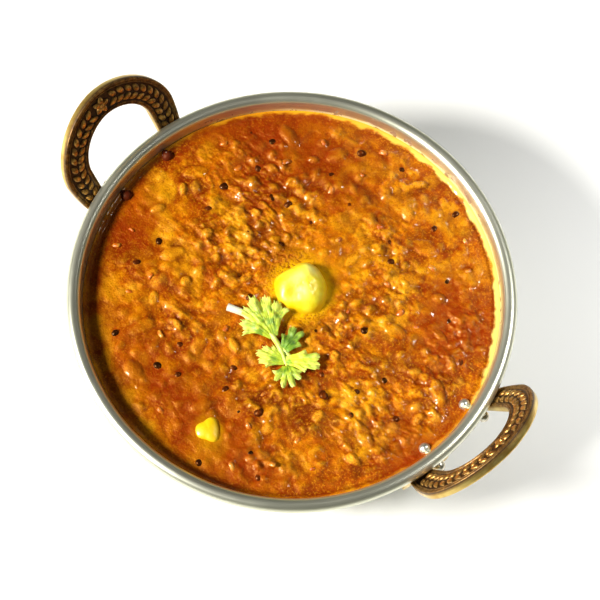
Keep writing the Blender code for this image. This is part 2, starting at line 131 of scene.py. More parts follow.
def take(item):
    let_go()
    item.select_set(True)
    bpy.context.view_layer.objects.active = item
    return item


def name_new(name):
    item = bpy.context.object
    item.name = name
    item.data.name = name
    return item


def begin(name, add_primitive, **sizes):
    """Add a primitive with nothing else in hand, and name it."""
    let_go()
    add_primitive(**sizes)
    return name_new(name)


def edit(item, select="DESELECT"):
    take(item)
    bpy.ops.object.mode_set(mode="EDIT")
    bpy.ops.mesh.select_all(action=select)


def done_editing():
    bpy.ops.object.mode_set(mode="OBJECT")


def apply_place(item):
    """Put the object's place, turn and size into its mesh."""
    take(item)
    bpy.ops.object.transform_apply(location=True, rotation=True, scale=True)


def close_up(item, distance=0.004):
    """Merge doubles, then turn every face outward."""
    edit(item, "SELECT")
    bpy.ops.mesh.remove_doubles(threshold=distance)
    bpy.ops.mesh.normals_make_consistent(inside=False)
    done_editing()


def select_open_edges():
    """Of the mesh being edited, select the edges with a face on one side only."""
    bpy.ops.mesh.select_all(action="DESELECT")
    bpy.ops.mesh.select_mode(type="EDGE")
    bpy.ops.mesh.select_non_manifold(extend=False, use_wire=False, use_multi_face=False,
                                     use_non_contiguous=False, use_verts=False)


def points_of(item):
    """The mesh's vertices as an array."""
    flat = np.empty(len(item.data.vertices) * 3)
    item.data.vertices.foreach_get("co", flat)
    return flat.reshape(-1, 3)


def set_points(item, points):
    """Move the vertices to rows of x, y and z."""
    item.data.vertices.foreach_set("co", np.asarray(points, float).ravel())
    item.data.update()


def set_masks(item, **masks):
    """Values per vertex that the material reads, each an array or one number for all."""
    for name, values in masks.items():
        mask = item.data.attributes.new(name, "FLOAT", "POINT")
        mask.data.foreach_set("value", np.clip(values + np.zeros(len(mask.data)), 0.0, 1.0))


def join(name, items):
    let_go()
    for item in items:
        item.select_set(True)
    bpy.context.view_layer.objects.active = items[0]
    if len(items) > 1:
        bpy.ops.object.join()
    return name_new(name)


def copy_of(item):
    copy = item.copy()
    copy.data = item.data.copy()
    bpy.context.scene.collection.objects.link(copy)
    return copy


def throw_away(item):
    bpy.data.objects.remove(item, do_unlink=True)


def finish_piece(item, material, nodes=(), degrees=40.0):
    """Millimetres to metres, smooth shading, material, and the frame's calls."""
    set_points(item, points_of(item) * MM)
    take(item)
    bpy.ops.object.shade_smooth_by_angle(angle=math.radians(degrees))
    item.data.materials.clear()
    item.data.materials.append(material)
    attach(item, "root")
    if nodes:
        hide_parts(*nodes)
    let_go()


def ease(value):
    """0 to 1 with soft ends."""
    value = np.clip(value, 0.0, 1.0)
    return value * value * (3.0 - 2.0 * value)


def fade(away, width):
    """1 at no distance, falling off over a width."""
    return np.exp(-(away / width) ** 2)


def polar(distance, angle):
    return distance * math.cos(angle), distance * math.sin(angle)


def noise_field(x, y, size, seed, octaves=3):
    """Soft random heights, about -1 to 1, that change over a given distance."""
    place = Vector((seed * 13.7, seed * 7.1, seed * 3.3))
    return np.array([
        noise.fractal(Vector((a / size, b / size, 0.0)) + place, 0.9, 2.1, octaves)
        for a, b in zip(x, y)])


# ---- drawn sections, spun or pulled ----
def draw_section(name, points, closed=False):
    """Draw (radius, height) points one after another, in the plane of X and Z."""
    item = begin(name, bpy.ops.mesh.primitive_plane_add, size=1.0)
    bpy.ops.object.mode_set(mode="EDIT")
    bpy.ops.mesh.merge(type="CENTER")
    bpy.ops.transform.translate(value=(points[0][0], 0.0, points[0][1]))
    for before, after in zip(points, points[1:]):
        step = (after[0] - before[0], 0.0, after[1] - before[1])
        bpy.ops.mesh.extrude_region_move(TRANSFORM_OT_translate={"value": step})
    bpy.ops.mesh.select_all(action="SELECT")
    if closed:
        bpy.ops.mesh.edge_face_add()
    done_editing()
    return item


def spin_round(item, steps, turn=FULL_TURN):
    """Spin the drawn section about the bowl's middle, clockwise, and close it up."""
    edit(item, "SELECT")
    bpy.ops.mesh.spin(steps=steps, angle=turn, center=(0, 0, 0), axis=(0, 0, 1))
    done_editing()
    close_up(item)
    return item


def wall_radius(height, inset):
    drop = min(max((BEAD_LEVEL - height) / (BEAD_LEVEL - inset), 0.0), 1.0)
    return BASE_RADIUS + (WALL_TOP_RADIUS - inset - BASE_RADIUS) * math.sqrt(1.0 - drop * drop)


def wall_run(high, inset, count):
    depth = BEAD_LEVEL - inset
    last = math.acos((BEAD_LEVEL - high) / depth)
    heights = [BEAD_LEVEL - depth * math.cos(last * index / (count - 1)) for index in range(count)]
    return [(wall_radius(height, inset), height) for height in heights]


def make_bowl():
    """Spun steel: flat base, round wall and a rolled rim that tucks in against the wall."""
    under_rim = RIM_HEIGHT - BEAD_HEIGHT
    bead = []
    for index in range(BEAD_POINTS):
        angle = math.pi - BEAD_TURN * index / (BEAD_POINTS - 1)
        bead.append((BEAD_RADIUS + BEAD_WIDTH / 2 * math.cos(angle),
                     BEAD_LEVEL + BEAD_HEIGHT / 2 * math.sin(angle)))
    inner = wall_run(under_rim, WALL_THICKNESS, WALL_POINTS)
    outer = wall_run(under_rim - 0.4, 0.0, WALL_POINTS)
    foot = [(BASE_RADIUS - 1.5, 0.0), (BASE_RADIUS - 3.0, 0.5), (0.0, 0.6)]
    profile = [(0.0, WALL_THICKNESS)] + inner + bead + outer[::-1] + foot
    return spin_round(draw_section("kadhai_bowl", profile), BOWL_STEPS)


def along_radius(angle, level):
    """Lays +Z along a radius of the bowl at a level."""
    turn = Matrix.Rotation(angle, 4, "Z") @ Matrix.Rotation(math.pi / 2, 4, "Y")
    return Matrix.Translation((0.0, 0.0, level)) @ turn


def make_rivet(name, angle):
    """A round-headed rivet: polished head over the dal, small hammered head outside."""
    wall_face = wall_radius(RIVET_LEVEL, WALL_THICKNESS)
    outer_face = TAB_RADIUS + TAB_THICKNESS
    profile = [(0.0, outer_face + 2.9), (0.9, outer_face + 2.75), (1.6, outer_face + 2.2),
               (2.1, outer_face + 1.2), (2.25, outer_face), (1.5, outer_face - 0.1),
               (1.5, wall_face), (1.65, wall_face - 0.1), (1.9, wall_face - 1.0)]
    middle = wall_face - 2.75
    for index in range(9):
        angle_up = math.radians(45 - 135 * index / 8)
        profile.append((2.4 * math.cos(angle_up) if index < 8 else 0.0,
                        middle + 2.25 * math.sin(angle_up)))
    rivet = spin_round(draw_section(name, profile), 40)
    rivet.matrix_world = along_radius(angle, RIVET_LEVEL)
    apply_place(rivet)
    return rivet


# ---- handles ----
def arch_edge(size, foot_width):
    """One edge of the arch, from the foot of one arm, over the top, to the other foot."""
    wide, high = size
    over = []
    for index in range(ARCH_STEPS + 1):
        angle = math.pi * index / ARCH_STEPS
        cosine, sine = math.cos(angle), max(math.sin(angle), 0.0)
        over.append((wide * math.copysign(abs(cosine) ** (2 / ARCH_POWER), cosine),
                     ARCH_CENTRE + high * sine ** (2 / ARCH_POWER)))
    foot, top = (foot_width, ARM_END), over[0]
    bend = (2 * (2 * wide + foot_width) / 3 - (foot[0] + top[0]) / 2,
            2 * ARM_END * 0.35 - (foot[1] + top[1]) / 2)
    leg = []
    for index in range(ARM_STEPS):
        u = index / ARM_STEPS
        leg.append(tuple((1 - u) ** 2 * foot[k] + 2 * u * (1 - u) * bend[k] + u * u * top[k]
                         for k in (0, 1)))
    return np.array(leg + over + [(-x, y) for x, y in leg[::-1]])


def handle_place(side):
    """Plate to bowl: x across the handle, y up its slope, z out of its face."""
    upward = Vector((side * math.cos(HANDLE_TILT), 0.0, math.sin(HANDLE_TILT)))
    across = Vector((0.0, -side, 0.0))
    face = across.cross(upward)
    place = Matrix((across, upward, face)).transposed().to_4x4()
    place.translation = Vector((side * HANDLE_RADIUS, 0.0, RIM_HEIGHT))
    return place


OUTER_LIP = ((0.0, -3.1), (0.0, -2.0), (0.0, -0.6), (0.08, -0.28), (0.3, -0.07), (0.6, 0.0),
             (1.2, -0.06), (1.38, -0.42), (1.55, -0.44), (1.72, -0.1), (2.0, -0.08),
             (2.2, -0.5), (2.5, -0.62))
INNER_LIP = ((2.0, -0.62), (1.75, -0.5), (1.55, -0.1), (1.25, -0.08), (1.1, -0.4), (0.95, -0.4),
             (0.8, -0.06), (0.45, -0.12), (0.13, -0.45), (0.0, -0.95), (0.0, -2.0), (0.0, -3.1),
             (0.14, -3.55), (0.48, -3.88), (0.95, -4.0))
BACK_RUN = INNER_LIP[:-4:-1]


def arch_edges():
    return arch_edge(ARCH_OUTER, ARM_END_WIDTH), arch_edge(ARCH_INNER, ARCH_INNER[0])


def make_arch(name):
    """The cast arch, a section with two raised lips carried along its curve."""
    outer, inner = arch_edges()
    stations = len(outer)
    section = ([(True, d, z) for d, z in OUTER_LIP] + [(False, d, z) for d, z in INNER_LIP]
               + [(True, d, z) for d, z in BACK_RUN])
    arch = begin(name, bpy.ops.mesh.primitive_grid_add, x_subdivisions=stations - 1,
                 y_subdivisions=len(section), size=2.0)
    points = points_of(arch)
    along = np.rint((points[:, 0] + 1) / 2 * (stations - 1)).astype(int)
    round_ = np.rint((points[:, 1] + 1) / 2 * len(section)).astype(int) % len(section)
    for index in range(len(points)):
        from_outer, distance, depth = section[round_[index]]
        start, end = outer[along[index]], inner[along[index]]
        if not from_outer:
            start, end = end, start
        inward = (end - start) / np.linalg.norm(end - start)
        flat = start + inward * distance
        points[index] = (flat[0], flat[1], depth)
    set_points(arch, points)
    edit(arch, "SELECT")
    bpy.ops.mesh.remove_doubles(threshold=0.004)
    select_open_edges()
    bpy.ops.mesh.fill_holes(sides=0)
    bpy.ops.mesh.select_mode(type="VERT")
    bpy.ops.mesh.select_all(action="SELECT")
    bpy.ops.mesh.normals_make_consistent(inside=False)
    done_editing()
    return arch


FIRST_LEAF = 9.6                    # along the arch, from its foot to the first pair
LEAF_SPACING = 3.75
LEAF_SLANT = math.radians(36)
FLOWER_ROOM = 4.6
PETALS = 5


def make_seed_leaf():
    """One cast leaf: a flattened ball, pointed at its tip, with a raised middle."""
    leaf = begin("cast_leaf", bpy.ops.mesh.primitive_uv_sphere_add, segments=14, ring_count=8,
                 radius=1.0)
    x, y, z = points_of(leaf).T
    tip = np.clip(x, 0, 1)
    vein = 1.0 - 0.22 * fade(y, 0.22)
    set_points(leaf, np.column_stack((
        x * 2.35, y * 1.32 * (1.0 - 0.55 * tip ** 1.5), z * (1.0 - 0.25 * tip) * vein)))
    return leaf


def run_of(line):
    """Distance along a line of points to each of them."""
    return np.concatenate(([0.0], np.cumsum(np.linalg.norm(np.diff(line, axis=0), axis=1))))


def walk(line, distance, step):
    """The place at a distance along a line of points, and the way on from there."""
    run = run_of(line)
    here, ahead, behind = (
        np.array([np.interp(spot, run, column) for column in line.T])
        for spot in (distance, distance + step, distance - step))
    return here, ahead - behind


def make_ornament(name):
    """Two rows of slanting leaves on a thin stem, meeting at a flower at the top."""
    outer, inner = arch_edges()
    middle = outer * 0.47 + inner * 0.53
    pattern = make_seed_leaf()
    items = []
    length = run_of(middle)[-1]
    half = length / 2
    for toward in (1, -1):
        for index in range(int((half - FIRST_LEAF - FLOWER_ROOM) / LEAF_SPACING) + 1):
            distance = FIRST_LEAF + index * LEAF_SPACING
            here, way = walk(middle, distance if toward > 0 else length - distance, 0.4)
            heading = math.atan2(way[1], way[0]) + (math.pi if toward < 0 else 0.0)
            for row in (1, -1):
                side = heading + row * math.pi / 2
                leaf = copy_of(pattern)
                leaf.matrix_world = Matrix.Translation((
                    here[0] + 1.85 * math.cos(side) + 0.5 * math.cos(heading),
                    here[1] + 1.85 * math.sin(side) + 0.5 * math.sin(heading), -0.66)
                ) @ Matrix.Rotation(heading + row * LEAF_SLANT, 4, "Z")
                items.append(leaf)
    top, way = walk(middle, half, 0.4)
    for index in range(PETALS):
        petal = copy_of(pattern)
        turn = math.atan2(way[1], way[0]) + FULL_TURN * (index + 0.5) / PETALS
        petal.matrix_world = Matrix.Translation((
            top[0] + 2.1 * math.cos(turn), top[1] + 2.1 * math.sin(turn), -0.45)
        ) @ Matrix.Rotation(turn, 4, "Z") @ Matrix.Diagonal((0.85, 1.0, 1.0, 1.0))
        items.append(petal)
    items.append(begin("flower_middle", bpy.ops.mesh.primitive_uv_sphere_add, segments=14,
                       ring_count=8, radius=1.05, location=(top[0], top[1], -0.35)))
    throw_away(pattern)
    ornament = join(name, items)
    apply_place(ornament)
    return ornament


def make_tab(name, base, turn):
    """The foot of one arm, which lies on the wall under the rim."""
    middle = (TAB_TOP + TAB_BOTTOM) / 2
    half = (TAB_TOP - TAB_BOTTOM) / 2
    face = TAB_RADIUS + TAB_THICKNESS
    section = ((TAB_RADIUS - 0.2, middle - half), (face - 0.9, middle - half),
               (face - 0.25, middle - half + 0.25), (face, middle - half + 0.9),
               (face, middle + half - 0.9), (face - 0.25, middle + half - 0.25),
               (face - 0.9, middle + half), (TAB_RADIUS - 0.2, middle + half))
    tab = draw_section(name, section, closed=True)
    low, high = sorted((turn * TAB_START, turn * TAB_END))
    # the spin operator turns clockwise, so the tab starts at its far end
    tab.rotation_euler = (0.0, 0.0, base + high)
    apply_place(tab)
    return spin_round(tab, 8, high - low)


def make_handle(name, side):
    """One brass handle: arch, leaf ornament and the two feet under the rim."""
    arch = make_arch(name)
    ornament = make_ornament(name + "_leaves")
    arch_count = len(arch.data.vertices)
    body = join(name, [arch, ornament])
    depth = points_of(body)[:, 2]
    lips = (np.arange(len(depth)) < arch_count) & (depth > -0.3)
    set_masks(body, polish=np.where(lips, 0.42, (depth + 0.62) / 0.5), face=(depth + 1.2) / 0.6)
    body.matrix_world = handle_place(side)
    apply_place(body)
    base = 0.0 if side > 0 else math.pi
    feet = [make_tab(f"{name}_foot_{label}", base, turn)
            for label, turn in (("a", -1), ("b", 1))]
    for foot in feet:
        set_masks(foot, polish=0.35, face=0.0)
    return join(name, [body] + feet)


# ---- dal ----
def mound_rise(x, y):
    """Low mounds and hollows of beans under the surface, as in the solid."""
    golden = math.pi * (3.0 - math.sqrt(5.0))
    rise = np.zeros_like(x)
    for index in range(MOUND_COUNT):
        angle = index * golden
        mound_x, mound_y = polar(MOUND_SPREAD * math.sqrt((index + 0.5) / MOUND_COUNT), angle)
        away = np.hypot(x - mound_x, y - mound_y)
        rise += MOUND_HEIGHT * math.sin(angle) * fade(away, MOUND_WIDTH)
    return rise


def scatter(count, reach, apart, seed, taken=()):
    """Places spread at random over the dal, none closer than a distance."""
    draw = random.Random(seed)
    places = [place[:2] for place in taken]
    fresh = []
    for _ in range(count * 40):
        if len(fresh) == count:
            break
        distance = reach * math.sqrt(draw.random())
        place = polar(distance, draw.random() * FULL_TURN)
        if all((place[0] - a) ** 2 + (place[1] - b) ** 2 > apart * apart for a, b in places):
            places.append(place)
            fresh.append(place)
    return fresh


def stem_point(share):
    """A place along the coriander's stem, which bows between its cut end and its tip."""
    along = STEM_LENGTH * share
    aside = STEM_BOW * 4.0 * share * (1.0 - share)
    return (STEM_START[0] + along * math.cos(STEM_HEADING) - aside * math.sin(STEM_HEADING),
            STEM_START[1] + along * math.sin(STEM_HEADING) + aside * math.cos(STEM_HEADING))


def sprig_spots():
    """Places under the sprig: along its stem and under the middle of each leaf."""
    spots = [stem_point(share) for share in (0.0, 0.25, 0.5, 0.75, 1.0)]
    for share, heading, length, *_ in LEAVES:
        x, y = stem_point(share)
        out, aside = polar(0.5 * length, math.radians(heading))
        spots.append((x + out, y + aside))
    return spots


def calm(x, y):
    """0 where butter, sprig or rivets lie on level dal, 1 away from them."""
    share = np.ones_like(x)
    spots = [(BUTTER_PLACE, BUTTER_RADIUS + 2.5, 5.0),
             (SMALL_BUTTER_PLACE, SMALL_BUTTER_RADIUS, 4.0)]
    spots += [(place, 3.0, 6.0) for place in sprig_spots()]
    for side in (HEAD_RADIUS, -HEAD_RADIUS):
        spots += [(polar(side, turn), 3.0, 3.0) for turn in (-RIVET_ANGLE, RIVET_ANGLE)]
    for place, radius, fade in spots:
        away = np.hypot(x - place[0], y - place[1])
        share = np.minimum(share, ease((away - radius) / fade))
    return share


def around(x, y, degrees, width):
    """1 along one direction from the middle of the bowl, fading over a width in degrees."""
    off = np.degrees(np.arctan2(y, x)) - degrees
    off = (off + 180.0) % 360.0 - 180.0
    return fade(off, width)


SMOOTH_SIDE = 222                   # degrees round from +X, where the gravy lies smoothest
GHEE_SIDES = ((92, 46), (40, 22))   # where the ghee band is wider and stronger: direction and width in degrees; ghee lies all round, and on these sides it is also painted light reflected from the far wall
# painted highlight: the side where the ghee is painted pale
CREAM_SIDE = (46, 46)
LUMP_COUNT = 330                    # of lentils just under the skin of the gravy
LUMPS_APART = 4.0
DARK_SHARE, PALE_SHARE = 0.36, 0.15     # of the lumps that show a dark skin or pale flesh
BLACK_COUNT, SPLIT_COUNT = 44, 32   # of lentils lying on top
LENTILS_APART = 7.0
BEAN_REACH = 74.0
WHOLE_BEAN = (70.0, 0.8 * RIVET_ANGLE, 12.5, 6.0, 2.2, 145)    # it lies inside the near rivets


def lay_beans(seed, count, apart, lengths, widths, heights, taken=()):
    """Beans under the skin of the gravy: x, y, length, width, height and heading of each."""
    draw = random.Random(seed)
    return [(x, y, draw.uniform(*lengths), draw.uniform(*widths), draw.uniform(*heights),
             draw.uniform(0.0, 180.0))
            for x, y in scatter(count, BEAN_REACH, apart, seed, taken)]


def whole_bean():
    distance, angle, *shape = WHOLE_BEAN
    return (*polar(distance, angle), *shape)


BEANS = [whole_bean()] + lay_beans(61, 20, 13.0, (8.5, 12.5), (5.5, 7.0), (0.8, 1.5),
                                   [whole_bean()[:2]])
PALE_BEANS = lay_beans(62, 26, 9.0, (4.4, 7.6), (3.2, 4.8), (0.7, 1.4),
                       [bean[:2] for bean in BEANS])
BEAN_PLACES = [bean[:2] for bean in BEANS + PALE_BEANS]


def dome(x, y, place, long, wide, heading):
    """Distance from a lump's middle, 1 at its edge."""
    turn = math.radians(heading)
    dx, dy = x - place[0], y - place[1]
    along = dx * math.cos(turn) + dy * math.sin(turn)
    off = -dx * math.sin(turn) + dy * math.cos(turn)
    return np.sqrt((along / long) ** 2 + (off / wide) ** 2)


def blur(values, reach):
    """A running mean over a square grid, one way and then the other."""
    steps = 2 * reach + 1
    for _ in range(2):
        padded = np.pad(values, ((reach, reach), (0, 0)), mode="edge")
        values = (sum(padded[step:step + len(values)] for step in range(steps)) / steps).T
    return values


def dal_surface(x, y):
    """Heights of the gravy over its level, with a mask for each thing that colours it."""
    radius = np.hypot(x, y)
    edge_radius = wall_radius(DAL_EDGE_LEVEL, DAL_CLEAR)
    quiet = calm(x, y)
    margin = ease((edge_radius - 3.0 - radius) / 7.0)
    # ridges run along the handles' line
    bend = 3.0 * noise_field(x, y, 22.0, 8.0, 1)
    swell = noise_field(x * 0.8, y + bend, 11.0, 1.0, 3)
    fold = noise_field(x * 0.78, y + bend, 5.0, 2.0, 3)
    crumb = noise_field(x, y, 2.0, 6.0, 3)
    grain = noise_field(x, y, 1.1, 3.0, 2)
    lively = 0.30 + 0.70 * np.clip(noise_field(x, y, 26.0, 4.0, 1) * 2.0 + 0.5, 0, 1)
    lively *= 1.0 - 0.55 * around(x, y, SMOOTH_SIDE, 75) * ease((radius - 30.0) / 45.0)
    ridge = np.clip(fold, -0.5, 1.0) + 0.6 * np.clip(fold, 0.0, 1.0)
    rise = mound_rise(x, y) * 0.8 + 0.9 * swell + lively * (1.25 * ridge + 0.14 * crumb)
    smooth_side = around(x, y, SMOOTH_SIDE, 80) * ease((radius - 52.0) / 22.0)
    rise *= (0.25 + 0.75 * quiet) * (0.3 + 0.7 * margin) * (1.0 - 0.7 * smooth_side)
    masks = {name: np.zeros_like(x) for name in ("skin", "pale", "bean", "split")}
    lumps, beans = np.zeros_like(x), np.zeros_like(x)
    draw = random.Random(21)
    for bean in BEANS + PALE_BEANS:
        whole = bean in BEANS
        bx, by, long, wide, high, heading = bean
        q = dome(x, y, (bx, by), long / 2, wide / 2, heading)
        bump = np.clip(1.0 - q ** (2.2 if whole else 2.6), 0, 1) ** (0.7 if whole else 0.6)
        beans = np.maximum(beans, high * bump)
        kind = "bean" if whole else "split"
        shown = ease(bump * 1.6) * min(1.0, high / 2.0) if whole else ease((bump - 0.35) * 1.8)
        masks[kind] = np.maximum(masks[kind], shown)
    for place in scatter(LUMP_COUNT, edge_radius - 3.5, LUMPS_APART, 5, BEAN_PLACES):
        size = draw.uniform(1.4, 2.3)
        high = draw.uniform(0.2, 1.6) ** 1.2
        long = size * draw.uniform(1.0, 1.5)
        tone = draw.random()
        q = dome(x, y, place, long, size, draw.uniform(0, 180))
        near = q < 2.2
        bump = np.exp(-(q[near] / 0.92) ** 3.0)
        lumps[near] += np.maximum(high * bump - 0.5 * lumps[near], 0.0)
        if tone < DARK_SHARE:
            mask, strength = masks["skin"], (0.35, 1.0)
        elif tone > 1.0 - PALE_SHARE:
            mask, strength = masks["pale"], (0.3, 0.8)
        else:
            continue
        mask[near] = np.maximum(mask[near], bump * draw.uniform(*strength))
    settled = (0.12 + 0.88 * quiet) * (0.2 + 0.8 * margin) * (0.35 + 0.65 * lively)
    settled *= 1.0 - 0.4 * smooth_side
    rise += lumps * settled * (1.0 - np.clip(beans, 0, 1)) + beans * (0.2 + 0.8 * quiet)
    rise += 0.07 * grain * (0.3 + 0.7 * quiet)
    # clear of the wall the gravy climbs a little way up it
    climb = ease((radius - (edge_radius - 2.6)) / 2.6)
    rise = rise * (1.0 - climb) + (DAL_EDGE_LEVEL - DAL_LEVEL) * climb
    for name in ("skin", "pale"):
        masks[name] *= settled
    return rise, masks


SURFACE = {}


def remember_surface(x, y, rise):
    """Keep the finished heights, so that what lies on the dal can be set down on them."""
    tree = KDTree(len(x))
    for index in range(len(x)):
        tree.insert((x[index], y[index], 0.0), index)
    tree.balance()
    SURFACE["tree"], SURFACE["rise"] = tree, rise


def make_dal():
    """The body of the dal: its surface in fine relief, then down the wall to a flat underside."""
    edge_radius = wall_radius(DAL_EDGE_LEVEL, DAL_CLEAR)
    dal = begin("dal_makhani", bpy.ops.mesh.primitive_grid_add, x_subdivisions=DAL_CELLS,
                y_subdivisions=DAL_CELLS, size=2.0)
    u, v, _ = points_of(dal).T
    # square to round: each square ring of the grid becomes a circle
    ring = np.maximum(np.abs(u), np.abs(v))
    first = np.abs(u) >= np.abs(v)
    slant = np.where(first, v / np.where(u == 0, 1.0, u),
                     u / np.where(v == 0, 1.0, v)) * math.pi / 4
    x = np.where(first, u * np.cos(slant), v * np.sin(slant)) * edge_radius
    y = np.where(first, u * np.sin(slant), v * np.cos(slant)) * edge_radius
    x[ring == 0] = y[ring == 0] = 0.0
    rise, masks = dal_surface(x, y)
    set_points(dal, np.column_stack((x, y, DAL_LEVEL + rise)))
    remember_surface(x, y, rise)

    # painted shade and painted highlight: how far the surface lies below its surroundings, so that
    # its hollows are painted darker and its crests lighter
    field = rise.reshape(DAL_CELLS + 1, DAL_CELLS + 1)
    close = blur(field, 3) - field
    wide = blur(field, 9) - field
    hollow = (close / 0.30 + wide / 1.1).ravel() * 0.5

    radius = np.hypot(x, y)
    wobble = noise_field(x, y, 6.5, 7.0, 3)
    away = np.hypot(x - BUTTER_PLACE[0], y - BUTTER_PLACE[1])
    melt = fade((away - 9.0).clip(0), 4.5 + 2.0 * wobble)
    halo = fade(np.hypot(x + 2.0, y - 14.0), 15.0 + 4.0 * wobble)
    small_away = np.hypot(x - SMALL_BUTTER_PLACE[0] - 1.0, y - SMALL_BUTTER_PLACE[1])
    melt = np.maximum(melt, 0.6 * fade(small_away, 5.0 + 2.6 * wobble))
    froth = np.maximum(fade(np.hypot(x + 10.0, y - 8.0), 13.0),
                       0.7 * fade(np.hypot(x - 9.0, y + 1.0), 10.0))
    # painted light: the ghee band, real all round, is widened and strengthened on the far side,
    # where the wall reflects the lamp's light
    ghee_side = np.clip(sum(around(x, y, *side) for side in GHEE_SIDES), 0, 1)
    ghee_width = 1.4 * ghee_side + 0.7
    ghee = ease((radius - (edge_radius - ghee_width) + 1.3 * wobble) / 0.8)
    drift = noise_field(x, y, 15.0, 9.0, 2)
    # away from the middle the gravy is painted darker red in random patches, the same on every
    # side
    thin = noise_field(x, y, 30.0, 12.0, 2)
    masks.update(
        hollow=hollow, crest=-hollow, gold=ease((drift - 0.12) / 0.30),
        umber=ease((-drift - 0.18) / 0.30), melt=melt, froth=froth, halo=halo,
        ghee=ghee * np.clip(0.25 + ghee_side * 1.2, 0, 1),
        red=np.clip(0.42 + 1.1 * thin, 0, 1) * ease((radius - 22.0) / 50.0),
        cream=1.5 * around(x, y, *CREAM_SIDE))

    # pull the rim of the surface down the inside of the bowl
    edit(dal)
    select_open_edges()
    reach, level = edge_radius, DAL_EDGE_LEVEL
    for next_reach, next_level in wall_run(DAL_EDGE_LEVEL, DAL_CLEAR, 6)[::-1][1:]:
        bpy.ops.mesh.extrude_edges_move(TRANSFORM_OT_translate={
            "value": (0.0, 0.0, next_level - level)})
        share = next_reach / reach
        bpy.ops.transform.resize(value=(share, share, 1.0), center_override=(0, 0, 0))
        reach, level = next_reach, next_level
    bpy.ops.transform.resize(value=(1.0, 1.0, 0.0))
    bpy.ops.mesh.edge_face_add()
    bpy.ops.mesh.select_mode(type="VERT")
    done_editing()
    wall_part = np.zeros(len(dal.data.vertices) - len(rise))
    set_masks(dal, **{name: np.concatenate((values, wall_part)) for name, values in masks.items()})
    return dal


# ---- what lies in and on the dal ----
def surface_height(x, y):
    """Height of the finished gravy over its level, near a place."""
    nearest = SURFACE["tree"].find_n(Vector((x, y, 0.0)), 3)
    return sum(SURFACE["rise"][index] for _, index, _ in nearest) / len(nearest)


def make_lentil():
    """One whole lentil: a plump disc, a little longer than wide."""
    lentil = begin("lentil", bpy.ops.mesh.primitive_uv_sphere_add, segments=10, ring_count=7,
                   radius=1.0)
    x, y, z = points_of(lentil).T
    set_points(lentil, np.column_stack((
        2.15 * x * (1.0 + 0.06 * y), 1.72 * y, 1.3 * z * (1.0 - 0.12 * x * x) + 0.15 * x * y)))
    return lentil


def make_split():
    """One broken half of a lentil: flat below, uneven above."""
    split = begin("split", bpy.ops.mesh.primitive_ico_sphere_add, subdivisions=2, radius=1.0)
    x, y, z = points_of(split).T
    rough = 1.0 + 0.14 * np.sin(5.0 * x + 1.0) * np.cos(4.0 * y)
    set_points(split, np.column_stack((
        1.75 * x * rough, 1.05 * y * rough + 0.28 * x * x,
        np.where(z > 0, 0.75 * z * rough, 0.35 * z))))
    return split


def strew(name, pattern, places, seed, sunk, sizes, tilt):
    """Copies of one shape, each turned and sunk into the gravy by chance, as one piece."""
    draw = random.Random(seed)
    items = []
    for x, y in places:
        size = draw.uniform(*sizes)
        turn = draw.uniform(0, FULL_TURN)
        level = DAL_LEVEL + surface_height(x, y) + draw.uniform(*sunk)
        item = copy_of(pattern)
        item.matrix_world = (
            Matrix.Translation((x, y, level)) @ Matrix.Rotation(turn, 4, "Z")
            @ Matrix.Rotation(draw.uniform(-tilt, tilt), 4, "X")
            @ Matrix.Rotation(draw.uniform(-tilt, tilt), 4, "Y")
            @ Matrix.Diagonal((size, size * draw.uniform(0.9, 1.1), size, 1.0)))
        set_masks(item, tone=draw.random())
        items.append(item)
    throw_away(pattern)
    heap = join(name, items)
    apply_place(heap)
    return heap


def make_butter(name, place, radius, height, peak, segments, rings, melted=0.0):
    """A soft lump, cut flat below, leaning to a peak and melting out at its foot."""
    lump = begin(name, bpy.ops.mesh.primitive_uv_sphere_add, segments=segments,
                 ring_count=rings, radius=1.0)
    edit(lump, "SELECT")
    bpy.ops.mesh.bisect(plane_co=(0, 0, 0.0), plane_no=(0, 0, 1), clear_inner=True, use_fill=True)
    done_editing()
    x, y, z = points_of(lump).T
    angle = np.arctan2(y, x)
    up = np.clip(z, 0.0, 1.0)
    belly = 1.0 + (0.05 if peak else 0.13) * np.cos(3.0 * angle + 0.6)
    belly += 0.035 * np.cos(5.0 * angle + 2.0)
    foot = 1.0 + 0.10 * np.clip(1.0 - up / 0.16, 0, 1) ** 2 * (0.6 + 0.5 * np.sin(4 * angle + 1.0))
    lean = peak * up * up
    off_peak = np.hypot(x + 0.35, y - 0.55)
    stand = 1.0 + 0.32 * peak * fade(off_peak, 0.33)
    dent = peak * fade(np.hypot(x + 0.02, (y + 0.56) * 0.8), 0.30)
    fold = peak * fade(x * 0.75 + y * 0.66 - 0.02, 0.13) * np.clip(0.9 - off_peak, 0, 1)
    soft = noise_field(x * 10.0, y * 10.0, 3.4, 11.0 + height, 3)
    body = up ** 0.85 * stand * (1.0 - 0.62 * dent - 0.12 * fold) * (1.0 + 0.05 * soft * up)
    if not peak:
        body *= 0.6 + 0.4 * up
    set_points(lump, np.column_stack((
        place[0] + radius * (x * belly * foot - 0.25 * lean),
        place[1] + radius * (y * belly * foot + 0.45 * lean),
        DAL_LEVEL + 0.05 + height * np.clip(body, 0.0, 1.15) - 0.5 * (z <= 0.001))))
    # painted highlight: whitish patches near the butter's peak and middle
    glow = np.maximum.reduce([fade(np.hypot(x + 0.05, y - 0.62), 0.3),
                              fade(np.hypot(x + 0.22, (y - 0.02) * 0.8), 0.26),
                              fade(np.hypot(x - 0.3, y + 0.3), 0.22)])
    set_masks(lump, foot=melted + (1.0 - melted) * (1.0 - up / 0.45), dent=dent * 2.4,
              glow=peak * glow * 2.6)
    close_up(lump, 0.002)
    return lump


